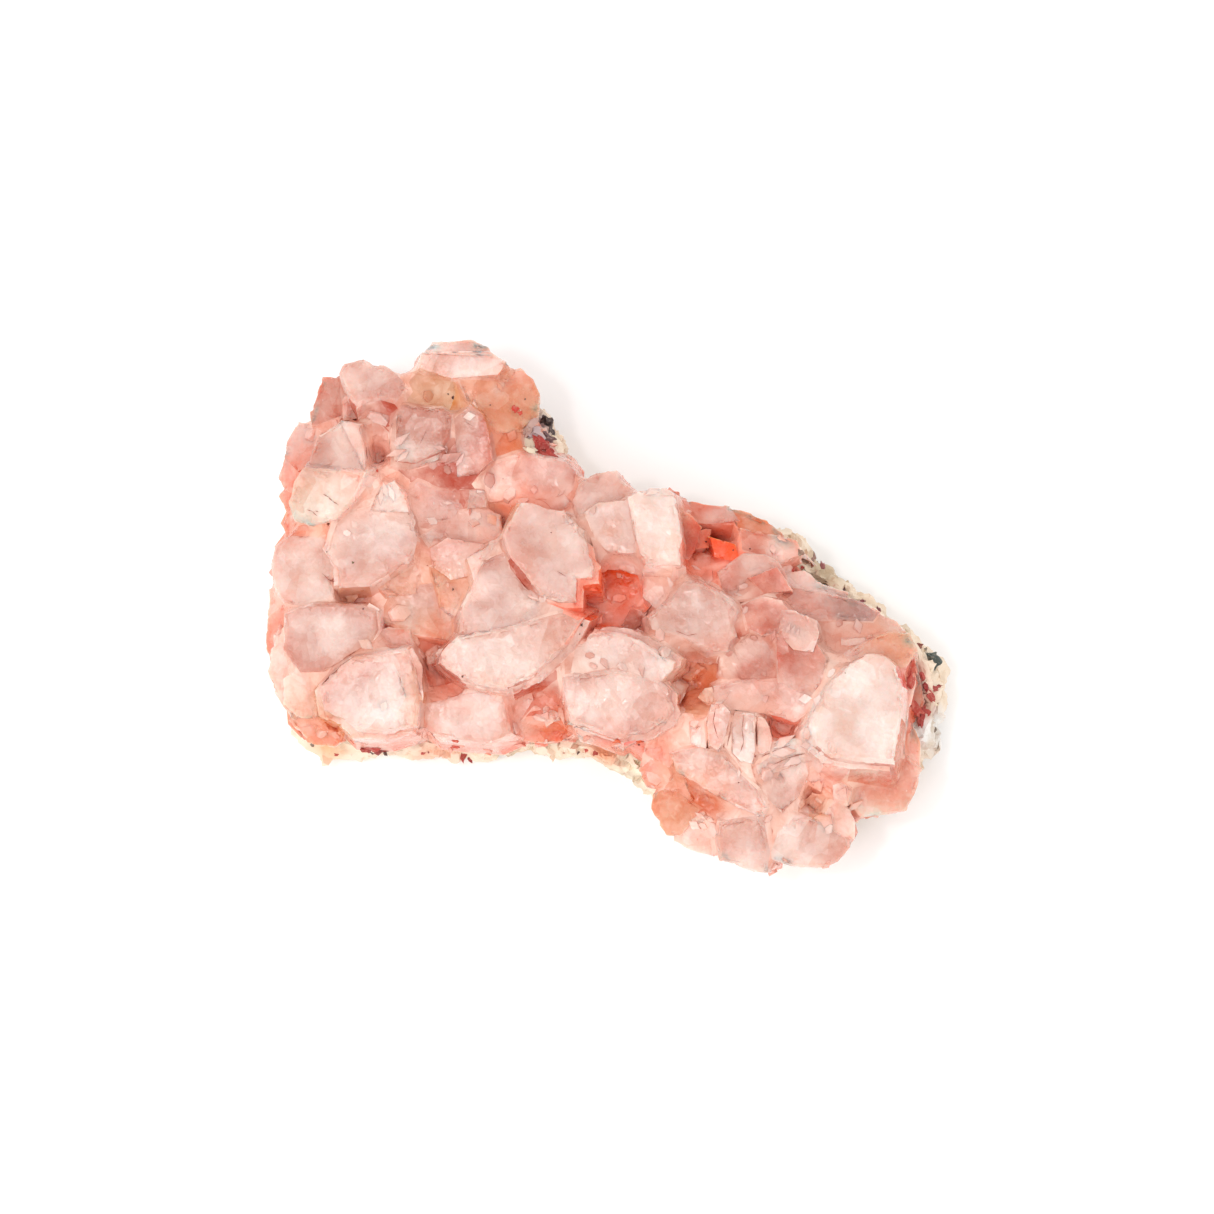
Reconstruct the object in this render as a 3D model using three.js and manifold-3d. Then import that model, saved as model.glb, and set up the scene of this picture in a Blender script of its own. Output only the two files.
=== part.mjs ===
// Heulandite cluster: a hand specimen of pink, coffin-shaped zeolite crystals on a rind of host rock.
// Millimetres, +Z up, X along the specimen, origin at the middle of its flat underside.
// Two pieces: the rock rind that it rests on, and the crystals, which have all grown into one another.

import * as THREE from 'three';
import { mergeVertices } from 'three/addons/utils/BufferGeometryUtils.js';
import Module from 'manifold-3d';

const wasm = await Module();
wasm.setup();

// ---- driving dimensions ----
const rindHeight = 7; // top of the rock slab
const crustTop = 13; // top of the crystal layer at its rim
const moundTop = 17.2; // and further in, where the hollows have their floor
const seatGap = 0.5; // clearance between the crystals and the rock under them
const rootLevel = 11; // each crystal reaches down at least to this height
const leastReach = 9; // and is at least this long
const lowestCrystal = 4; // nothing of the crystals lies below this
const flank = THREE.MathUtils.degToRad(10); // the sides of a crystal spread by this much on the way down
const flankFrom = 3.5; // crystals narrower than twice this have steeper sides
const uprightness = 0.3; // how far a crystal's axis is pulled back from its lean to the vertical
const sightLean = THREE.MathUtils.degToRad(12); // the outlines are drawn as seen from this far off upright
const drawnHeight = 18; // height at which the middle of the drawing and of the plan agree

const random = (seed) => {
  let state = seed;
  return (low, high) => {
    state = (state * 16807) % 2147483647;
    return low + ((high - low) * state) / 2147483647;
  };
};

// A point of the drawing at height z has this Y in plan.
const planY = (drawnY, z) => (drawnY - Math.sin(sightLean) * (z - drawnHeight)) / Math.cos(sightLean);

// ---- solids ----
function solidOf(geometry) {
  const bare = geometry.index ? geometry.toNonIndexed() : geometry.clone();
  bare.deleteAttribute('normal');
  bare.deleteAttribute('uv');
  const merged = mergeVertices(bare, 1e-4);
  const triVerts = new Uint32Array(merged.index.array);
  return new wasm.Manifold(
    new wasm.Mesh({ numProp: 3, vertProperties: merged.attributes.position.array, triVerts }),
  );
}

function geometryOf(solid) {
  const mesh = solid.getMesh();
  const places = new Float32Array(mesh.numVert * 3);
  for (let i = 0; i < mesh.numVert; i++) {
    places.set(mesh.vertProperties.subarray(i * mesh.numProp, i * mesh.numProp + 3), i * 3);
  }
  return new THREE.BufferGeometry()
    .setAttribute('position', new THREE.BufferAttribute(places, 3))
    .setIndex(new THREE.BufferAttribute(mesh.triVerts, 1));
}

const join = (solids) => wasm.Manifold.union(solids);

// One plate: the outline as a slab, its top face at z = topZ, its rims chamfered when rim is above 0.
function plate(points, topZ, thickness, rim) {
  const shape = new THREE.Shape(points.map(([x, y]) => new THREE.Vector2(x, y)));
  const geometry = new THREE.ExtrudeGeometry(shape, {
    depth: thickness - 2 * rim,
    steps: 1,
    bevelEnabled: rim > 0,
    bevelSegments: 1,
    bevelThickness: rim,
    bevelSize: rim,
    bevelOffset: -rim,
  });
  return geometry.translate(0, 0, topZ - thickness + rim);
}

const centreOf = (points) => {
  const sum = points.reduce(([x, y], p) => [x + p[0], y + p[1]], [0, 0]);
  return [sum[0] / points.length, sum[1] / points.length];
};

const areaOf = (points) =>
  Math.abs(THREE.ShapeUtils.area(points.map(([x, y]) => new THREE.Vector2(x, y))));

// A heulandite crystal: a plate with slanting sides. lean tips its top face towards +X and +Y, in degrees,
// and its root goes the other way unless pull is 1. A ledge is a second plate under the first, shifted.
function crystal({ outline, top, lean = [0, 0], pull = uprightness, ledge }, index) {
  const vary = random(700 + 31 * index);
  const [leanX, leanY] = lean.map((angle) => THREE.MathUtils.degToRad(angle + vary(-4, 4)));
  const [cx, cy] = centreOf(outline);
  const [shrinkX, shrinkY] = [Math.cos(leanX), Math.cos(leanY + sightLean)];
  const face = outline.map(([x, y]) => [(x - cx) / shrinkX, (y - cy) / shrinkY]);
  const reach = Math.max(leastReach, top - rootLevel);
  const rim = areaOf(face) > 40 ? vary(0.25, 0.45) : 0;
  const parts = [plate(face, 0, reach, rim)];
  if (ledge) {
    const shifted = face.map(([x, y]) => [x + ledge[0], y + ledge[1]]);
    parts.push(plate(shifted, -ledge[2], reach - ledge[2], 0));
  }
  const halfWidth = Math.max(...face.map(([x]) => Math.abs(x)));
  const halfDepth = Math.max(...face.map(([, y]) => Math.abs(y)));
  const slant = Math.tan(flank) * vary(0.6, 1.4) * Math.min(1, Math.min(halfWidth, halfDepth) / flankFrom);
  return parts.map((geometry) => {
    const places = geometry.attributes.position;
    for (let i = 0; i < places.count; i++) {
      const spread = -slant * places.getZ(i);
      const [scaleX, scaleY] = [1 + spread / halfWidth, 1 + spread / halfDepth];
      places.setXY(i, places.getX(i) * scaleX, places.getY(i) * scaleY);
    }
    geometry.rotateX(-leanY).rotateY(leanX);
    for (let i = 0; i < places.count; i++) {
      const depth = -places.getZ(i) * pull;
      places.setXY(i, places.getX(i) + depth * Math.tan(leanX), places.getY(i) + depth * Math.tan(leanY));
    }
    return solidOf(geometry.translate(cx, planY(cy, top), top));
  });
}

// ---- the crystals, lobe by lobe ----
// Upper left lobe, from the cap at its top down to the ledge across its neck.
const upperLobe = [
  { // cap, front facet
    outline: [[-24.3, 31.2], [-23.8, 33], [-15.2, 32.8], [-12.8, 31.5], [-14, 30.1], [-20, 29.9]],
    top: 23, lean: [0, -20], pull: 1,
  },
  { // cap, back facet
    outline: [[-23.9, 32.9], [-22.5, 34.3], [-17.5, 34.6], [-15.4, 34], [-14.6, 32.7]],
    top: 23, lean: [0, 34],
  },
  { // amber block under the cap
    outline: [[-26.3, 28], [-23.8, 30.8], [-20.3, 31], [-19.6, 27.5], [-20.3, 25], [-25.5, 26]],
    top: 20, lean: [-14, 6],
  },
  { // orange shoulder
    outline: [
      [-19.5, 30.2], [-13, 30.8], [-11, 31.2], [-9.4, 29.9], [-8.5, 27.8], [-8.7, 25.2], [-11, 23],
      [-14, 22.5], [-17, 25],
    ],
    top: 19.6, lean: [20, 8],
  },
  { // orange heel
    outline: [
      [-15.8, 24.2], [-11.2, 24.6], [-10.9, 21.5], [-10.6, 19.6], [-13, 18.4], [-16.4, 18], [-17, 21],
    ],
    top: 18.8, lean: [12, -16],
  },
  { // glinting block
    outline: [
      [-19.5, 24.4], [-17.4, 26.2], [-15.8, 25], [-15, 22], [-14.7, 19], [-16.6, 17.2], [-19.3, 17],
    ],
    top: 21.3, lean: [-4, -12],
  },
  { // square block with pale edges
    outline: [
      [-27, 25], [-26.4, 26.2], [-21, 25.6], [-20, 24.8], [-20.2, 21.8], [-21.4, 20], [-25, 18.8],
      [-27.3, 19],
    ],
    top: 21.6, lean: [-5, -8], ledge: [-0.6, -0.7, 1],
  },
  { // crest, a scalloped plate at the top left
    outline: [
      [-34.6, 30.6], [-34.2, 31.9], [-31.6, 32.4], [-30.4, 31.6], [-28.6, 31.4], [-26.8, 29.8],
      [-26, 28.6], [-27.4, 26.4], [-29.2, 27], [-31.2, 26.6], [-32.2, 26], [-33.4, 27.6],
    ],
    top: 20.8, lean: [-8, 12],
  },
  { // corner block left of the crest
    outline: [
      [-37, 30], [-34.2, 29.8], [-33.4, 26.5], [-34.5, 24.8], [-38.1, 23.6], [-38.3, 25.6], [-37.6, 27.8],
    ],
    top: 17.2, lean: [-18, 8],
  },
  { // red block in the hollow under the crest
    outline: [[-30.2, 25.6], [-28.6, 27], [-26.8, 26], [-27, 21.8], [-28.6, 21.8], [-30, 23.8]],
    top: 17, lean: [8, 0],
  },
  { // nose, upper half
    outline: [
      [-37.2, 22.4], [-34.4, 24.3], [-31.6, 23.8], [-31.3, 20.5], [-30.9, 17], [-34, 15.6], [-38.2, 16.6],
      [-38.3, 19.4],
    ],
    top: 21.9, lean: [-10, 4],
  },
  { // nose, lower half
    outline: [
      [-38.6, 18.2], [-34.5, 17.4], [-31, 16.8], [-32.6, 13.4], [-35, 11.2], [-38, 10.7], [-40.3, 11.6],
      [-40.9, 13.8], [-40, 16.4],
    ],
    top: 22.6, lean: [-12, -22],
  },
  { // flat block right of the nose
    outline: [[-32, 24.2], [-29.8, 23.8], [-28.3, 22], [-28, 20], [-29.6, 18.6], [-31.8, 19.6]],
    top: 18, lean: [16, 4],
  },
  { // rim, uppermost
    outline: [
      [-41.5, 21.8], [-40.1, 24.2], [-38.2, 23.6], [-36.6, 21.8], [-38, 18.3], [-40, 17.8], [-41.8, 19.8],
    ],
    top: 15.6, lean: [-20, 8],
  },
  { // rim, middle
    outline: [[-42.6, 17.3], [-41.7, 19.7], [-38.6, 19.6], [-38, 16.5], [-40.2, 14.3], [-42.1, 15.8]],
    top: 14.7, lean: [-26, 0],
  },
  { // rim, lower
    outline: [[-42.5, 14.7], [-41.8, 16.2], [-39.2, 15.4], [-38.8, 11.8], [-41.4, 12.2]],
    top: 13.6, lean: [-24, -4],
  },
  { // rim, foot
    outline: [[-42.1, 10.8], [-41.4, 12.6], [-38.8, 12], [-38, 9.6], [-41.6, 9.2]],
    top: 13.1, lean: [-20, -10],
  },
  { // ledge across the neck, left half
    outline: [
      [-27.4, 17.6], [-24.4, 19.2], [-21.4, 19.8], [-17.8, 17.2], [-14, 17.6], [-13, 15.2], [-19, 14.8],
      [-25.4, 15.8],
    ],
    top: 18.1, lean: [0, -8],
  },
  { // ledge across the neck, right half
    outline: [
      [-14.6, 18.6], [-10.6, 20.1], [-8, 19.4], [-5.2, 18.9], [-3.9, 17.6], [-4.2, 15.2], [-6.4, 13.4],
      [-10, 14.2], [-15, 13.4], [-17.4, 15.4],
    ],
    top: 18.7, lean: [8, -14],
  },
];

// Left half of the body, from the pale crystals under the neck to the front edge.
const leftBody = [
  { // broad pale crystal
    outline: [
      [-34.6, 10.8], [-32.8, 12.4], [-30.4, 12.9], [-26, 13.8], [-24.8, 11.5], [-24.4, 8.6], [-25, 6],
      [-28, 4.4], [-30.4, 2.9], [-34.4, 2.7], [-34.4, 5], [-36, 7.4],
    ],
    top: 20.8, lean: [-2, 5], ledge: [-0.6, 0.6, 1],
  },
  { // bright three-sided facet on its back
    outline: [[-30.6, 12.6], [-28.9, 15.6], [-27.2, 16.2], [-25.9, 14.4], [-25.5, 12.2]],
    top: 21.8, lean: [-6, -20],
  },
  { // pale block next to it
    outline: [
      [-26, 14.6], [-24.2, 16.2], [-21.8, 15], [-19.8, 14.9], [-18.8, 13.2], [-19.6, 11.6], [-23, 10],
      [-25.6, 10.8],
    ],
    top: 19.7, lean: [0, -8],
  },
  { // little cube
    outline: [[-17.9, 12.8], [-17.6, 15.1], [-15.7, 15.3], [-15.4, 12.9]],
    top: 20.5, lean: [0, -4],
  },
  { // pink plate right of the pale block
    outline: [
      [-24.4, 8.8], [-19.6, 12.4], [-16, 13], [-13.6, 12], [-13.3, 9.8], [-14.6, 8.4], [-17, 6.4],
      [-22, 6.6],
    ],
    top: 19.7, lean: [4, 4],
  },
  { // bright-edged plate below it
    outline: [[-22.6, 7.6], [-20.4, 9], [-16, 8.2], [-13.8, 7.2], [-14.6, 4.4], [-20, 3.6], [-22.4, 5.4]],
    top: 21.1, lean: [0, -14],
  },
  { // left rim, broad pale crystal
    outline: [
      [-42.8, 8.4], [-41, 9.4], [-37, 8.9], [-34.2, 8], [-34.4, 5.2], [-35.8, 3.6], [-35, 0.8],
      [-38, -0.2], [-41.5, 0.8], [-42.9, 2.8], [-43.3, 6],
    ],
    top: 18, lean: [-14, 5],
  },
  { // left rim, sliver
    outline: [[-43.7, 2.5], [-42.2, 3.2], [-41, 0.6], [-41.4, -1.8], [-43.9, -1.2]],
    top: 13.3, lean: [-24, 0],
  },
  { // left rim, next down
    outline: [[-43.9, -1.2], [-42, 0], [-40.4, -3], [-41, -7.4], [-43.5, -8], [-44.1, -4.4]],
    top: 14.4, lean: [-24, -4],
  },
  { // flat table with a lit back edge
    outline: [
      [-41.3, -0.6], [-38, 0.5], [-34.5, 0.4], [-31.6, 0.1], [-29.5, -0.8], [-29.3, -3.2], [-30, -4.6],
      [-33, -6.2], [-36.6, -8.2], [-39.6, -8], [-41.6, -5],
    ],
    top: 20, lean: [-6, -12],
  },
  { // left flank
    outline: [
      [-42.6, -3.4], [-40.8, -2.4], [-39, -8], [-39.6, -12.4], [-41, -14.4], [-42.7, -11.2], [-43.6, -8],
    ],
    top: 15.2, lean: [-24, -8],
  },
  { // lower left flank
    outline: [
      [-41.4, -9], [-39, -7.6], [-36, -9], [-35.8, -12.8], [-37, -14.4], [-40.2, -14], [-41.6, -12.2],
    ],
    top: 16.3, lean: [-12, -18],
  },
  { // orange foot at the corner
    outline: [
      [-41, -14.4], [-39, -12.8], [-36, -13], [-32.6, -13.8], [-32.6, -16.6], [-35.6, -18.2],
      [-38.4, -17.6],
    ],
    top: 13.1, lean: [-14, -30], pull: 0,
  },
  { // ledge behind the front block
    outline: [[-30.2, -3.6], [-28, -2.4], [-25.2, -3], [-24.6, -5.6], [-29, -6.4], [-32.6, -6.2]],
    top: 19.5, lean: [0, 6],
  },
  { // front block
    outline: [
      [-36.6, -9.8], [-32.6, -6.4], [-29, -5.9], [-25.4, -5.4], [-24.4, -8], [-23.8, -11], [-24.4, -15.2],
      [-28, -16.1], [-32, -15.8], [-33.6, -14.2], [-36.2, -13],
    ],
    top: 21.6, lean: [-2, -15], ledge: [-0.6, -0.6, 1.2],
  },
  { // step on the front block's right
    outline: [[-27.2, -7.2], [-24.9, -5.2], [-23.4, -7.6], [-23.4, -11.8], [-25.6, -11.6]],
    top: 22.2, lean: [14, -8],
  },
  { // cream block on the front edge
    outline: [
      [-23.2, -12.4], [-19, -11.4], [-17, -9.8], [-14.2, -9.9], [-13, -13], [-12.2, -16.3], [-15, -17.3],
      [-18.4, -17], [-21.2, -16.6], [-23.2, -15.2],
    ],
    top: 18.7, lean: [-4, -15],
  },
  { // sliver behind the cream block
    outline: [[-23.8, -10.6], [-18.6, -9.6], [-16.6, -9.6], [-18.6, -12], [-23.4, -12.8]],
    top: 17.8, lean: [0, 8],
  },
  { // salmon floor of the body
    outline: [
      [-29.2, -1.6], [-28, 1.4], [-25.6, 2.6], [-20, 3.2], [-17.8, 1], [-18, -2.4], [-20.4, -4.6],
      [-25, -3.6],
    ],
    top: 18.7, lean: [-3, 0],
  },
  { // orange floor of the body
    outline: [[-22.4, 5], [-18, 4.6], [-15, 3.6], [-15.2, -1], [-18, -2.8], [-21.4, 0]],
    top: 19.7, lean: [5, 2],
  },
  { // small step under the broad pale crystal
    outline: [[-30.4, 3.6], [-28, 5], [-25, 6.6], [-24, 4], [-24.6, 1.8], [-28.4, 1.2]],
    top: 19, lean: [0, -6],
  },
];

// Middle of the specimen: the kite, the fan, the pale group at the back and the stepped block in front.
const middle = [
  { // kite, lower face
    outline: [
      [-19, -3.6], [-12, -2.4], [-5.6, -0.9], [-2.9, -1.5], [-5, -5], [-7, -6.8], [-9.6, -9],
      [-12.6, -10.2], [-15.6, -9.8], [-18.6, -9], [-21.4, -7], [-21, -5.6],
    ],
    top: 24, lean: [2, -10], ledge: [0.7, -0.5, 1.2],
  },
  { // kite, upper face
    outline: [
      [-15.8, 6.2], [-12.7, 7], [-12.3, 5], [-10.4, 2.6], [-8.6, 0.9], [-6.2, 0.4], [-3.8, -1],
      [-7, -3.8], [-18.6, -3.2], [-18.6, 0], [-17.2, 2.6],
    ],
    top: 23.5, lean: [4, 6],
  },
  { // ridge from the kite up to the fan
    outline: [[-18, 6.4], [-13.6, 9.4], [-12.6, 7.6], [-11.6, 4.6], [-14, 2.6], [-17, 3.6]],
    top: 22.4, lean: [2, 10],
  },
  { // fan
    outline: [
      [-11.1, 13.6], [-9, 13.4], [-7.4, 12.7], [-5.3, 12.6], [-4.7, 11.4], [-3.6, 10.7], [-3.4, 9.4],
      [-2.4, 8.6], [-2.3, 7], [-1.6, 6.2], [-1.7, 4], [-3.7, 3.8], [-3.8, 1], [-6, 0.8], [-8.2, 1.6],
      [-10, 3.8], [-12.2, 6.4], [-13.3, 9.2],
    ],
    top: 24.8, lean: [6, 5], ledge: [0.8, -0.6, 1],
  },
  { // pale group, back left
    outline: [
      [-4.2, 14], [-3.2, 16.6], [-1, 17.6], [1.3, 17.8], [1.8, 16.4], [2.9, 15.6], [3.6, 12], [0, 10.6],
      [-3.2, 11.2],
    ],
    top: 21.1, lean: [-5, 10],
  },
  { // pale group, square block on the right
    outline: [
      [2.8, 14.4], [4.8, 15], [7.6, 15.4], [8.9, 14.6], [9.3, 12], [9.7, 9], [9.5, 5.6], [5, 5.6],
      [3.8, 9],
    ],
    top: 24, lean: [3, -3],
  },
  { // pale group, centre
    outline: [[-2.8, 12.4], [-1, 13.6], [3.4, 13.8], [4.8, 9.4], [3.4, 6.8], [0, 7.2], [-1.4, 9]],
    top: 22.7, lean: [-3, -8],
  },
  { // pale group, lower slope
    outline: [[-1.8, 8.2], [4, 8.6], [6, 6.4], [9.2, 5.8], [8.8, 3.6], [5, 3.9], [2, 4.8], [-0.8, 4.8]],
    top: 20, lean: [0, -20],
  },
  { // pale group, right flank
    outline: [[9, 13.2], [11, 12.2], [12.4, 10.4], [11.8, 8.4], [10.8, 6.2], [9, 6]],
    top: 20, lean: [18, 2],
  },
  { // orange crystal in the deep hollow
    outline: [[-0.4, 4.4], [4.2, 4], [4.9, 1], [3, -2.8], [-1.2, -3.4], [-2.8, 0.2]],
    top: 17.4, lean: [2, -6],
  },
  { // orange crystal under the fan
    outline: [[-4.4, 2.6], [-1.4, 3.6], [0.4, 2], [-1.6, -1.4], [-4.4, -0.8]],
    top: 16.9, lean: [-6, -8],
  },
  { // stepped block, upper plate
    outline: [
      [-5.7, -5.3], [-4, -5], [-2.5, -4.3], [-2.2, -3.2], [0, -2.9], [3, -3.5], [4.6, -4.3], [7, -6],
      [8.8, -7], [8.6, -8.1], [6.8, -9.7], [2, -11.4], [-5.5, -11.8],
    ],
    top: 23.2, lean: [-2, -3], ledge: [0.7, 0.6, 1],
  },
  { // stepped block, lower plate
    outline: [
      [-5.5, -9], [1, -8], [6.9, -9.4], [8.4, -10.8], [8.2, -12], [8.7, -13], [7.8, -14.6], [5, -16],
      [1.5, -16.6], [-4.6, -14.6],
    ],
    top: 22.6, lean: [2, -13], ledge: [0.8, -0.5, 1],
  },
  { // stepped block, skirt
    outline: [[-4.8, -13.6], [1, -14.6], [5.6, -14.8], [4, -16.9], [0, -18.4], [-3.4, -17.2]],
    top: 18.7, lean: [0, -30], pull: 0,
  },
  { // small crystals left of the stepped block
    outline: [[-9.8, -9.4], [-6.6, -6.6], [-5.4, -8], [-5.2, -12.4], [-8, -13.4], [-10.4, -12]],
    top: 16.8, lean: [-6, -10],
  },
  {
    outline: [[-14, -10.6], [-10.2, -9], [-9.4, -12], [-11.6, -15.2], [-13.4, -14]],
    top: 17.3, lean: [-8, -12],
  },
  {
    outline: [[-8.4, -13.2], [-7.7, -12.6], [-5.6, -14], [-7.8, -15.4]],
    top: 17.3, lean: [-4, -16],
  },
  {
    outline: [[-12, -14.8], [-8, -14.2], [-3.6, -14.4], [-3, -17], [-8, -17.6], [-12, -17]],
    top: 14.1, lean: [0, -20],
  },
];

// Right half of the body, out to the broken end.
const rightBody = [
  { // pale crystal, back step
    outline: [[4.7, 4], [8.5, 4.4], [11.2, 3.2], [10.8, 0.8], [6.5, -0.2], [4.8, 1.4]],
    top: 19.5, lean: [-4, 8],
  },
  { // pale crystal, main plate
    outline: [
      [10.2, 3.3], [12, 3.3], [14.6, 2], [16.2, 1], [17.1, -0.5], [16.3, -2.3], [16.8, -3.6],
      [15.5, -5.2], [12.8, -5.5], [10, -3.8], [6, -2.8], [5.4, -1], [7.6, 0.6],
    ],
    top: 22.4, lean: [3, -5],
  },
  { // pale crystal, front slope
    outline: [[5.2, -2.4], [10, -3], [14.8, -4.6], [14, -7.6], [9, -6.7], [4.8, -4.6]],
    top: 19.5, lean: [-4, -20],
  },
  { // back wall of the orange hollow, left
    outline: [[9.2, 14.1], [13.2, 13.3], [16, 13.1], [17.4, 11.2], [13, 10.8], [9.2, 11.4]],
    top: 17.1, lean: [2, 14],
  },
  { // back wall, middle
    outline: [[15.4, 13.2], [18.8, 12.2], [21.6, 10.9], [23, 9.6], [21, 8.2], [17.2, 10]],
    top: 17.3, lean: [10, 12],
  },
  { // back wall, right
    outline: [[17.4, 10.2], [21, 9.6], [24.6, 8.8], [25.4, 7], [22.6, 5.8], [20.4, 6.6], [17.6, 7.4]],
    top: 17.9, lean: [12, 2],
  },
  { // pink wedge right of the hollow
    outline: [
      [14.4, 4.6], [17.8, 7], [20.6, 7], [22.4, 6.2], [23.8, 3], [22, 1.2], [19, 0.8], [16.6, 0.4],
      [15, 2.4],
    ],
    top: 19.2, lean: [5, 8],
  },
  { // three-sided facet on the wedge
    outline: [[18.3, 3.8], [22, 5.2], [24, 2.2], [20.4, 1.8]],
    top: 20.5, lean: [4, -8],
  },
  { // streaked back ridge
    outline: [[19.8, 1], [24, 2.6], [28, 2.2], [33, 1], [35.4, -0.4], [34.4, -1.6], [28, -1.4], [23, -1]],
    top: 18.1, lean: [6, 14],
  },
  { // pink rim behind the ridge
    outline: [[23, 4.4], [25.8, 4.8], [28, 3], [31.4, 2], [31, 0.6], [25, 1.2]],
    top: 16, lean: [12, 14],
  },
  { // pale blocks of the right body
    outline: [[17.4, 0.4], [20, 1.4], [22.6, 1], [23.8, -1], [22.4, -3.2], [20, -3.6], [18.2, -2.6]],
    top: 21.6, lean: [-2, 2],
  },
  {
    outline: [[22.4, -0.2], [24.4, -0.4], [27.1, -1.6], [27.4, -3.6], [26.6, -5.8], [24, -5.4], [22, -3.2]],
    top: 22.1, lean: [4, 0],
  },
  {
    outline: [[14.8, -5.4], [19, -3.2], [22.4, -3.2], [23, -8], [21.4, -10], [17.4, -10], [14.3, -8.6]],
    top: 20.2, lean: [-5, 3],
  },
  {
    outline: [[21.8, -3.8], [27, -4.6], [28.4, -6.5], [27.6, -9.4], [26.2, -11.4], [22, -9.6]],
    top: 21.6, lean: [5, -2],
  },
  {
    outline: [
      [13.8, -10], [17.4, -9.2], [22, -9.2], [26.2, -10.8], [26.4, -13], [24, -14.8], [20.8, -13.8],
      [16, -13.1], [14, -12],
    ],
    top: 20.8, lean: [0, -12],
  },
  { // white block
    outline: [
      [29, -9.4], [31, -7.4], [33.4, -5.9], [35.6, -6], [37.2, -7.4], [38, -10], [37.8, -14],
      [36.8, -19.8], [32, -19.6], [28.8, -19.1], [27, -17.6], [25.9, -15], [27.4, -12],
    ],
    top: 22.7, lean: [7, -3], ledge: [-0.7, -0.5, 1.2],
  },
  { // flank right of the white block
    outline: [
      [36.8, -7.4], [39.2, -5.6], [39.9, -9.6], [38.8, -14], [38.2, -19.4], [36.4, -19.4], [37, -13],
    ],
    top: 17.9, lean: [28, 0],
  },
  { // salmon shoulder behind the white block
    outline: [
      [30.6, -5.8], [34.6, -3.6], [37, -2.8], [39.2, -3.2], [40.2, -5.2], [38.6, -7.4], [35, -8.6],
      [33, -8.8],
    ],
    top: 19.7, lean: [12, 10],
  },
  { // salmon floor in front of the ridge
    outline: [
      [26.8, -1.4], [30, -1], [34.8, -0.6], [37.4, -1.6], [38.6, -3], [35, -4.6], [33, -6.4], [27.4, -6],
    ],
    top: 17.4, lean: [3, 8],
  },
  { // lath lying on the salmon floor
    outline: [[30.1, -3.9], [33.3, -3.9], [33.5, -5], [30.2, -5]],
    top: 18.9, lean: [0, -10],
  },
  { // small step by the white block
    outline: [[25.6, -11], [28, -10.6], [28.6, -12], [26.8, -14.4], [24.6, -14.6]],
    top: 19.4, lean: [4, -10],
  },
];

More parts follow.
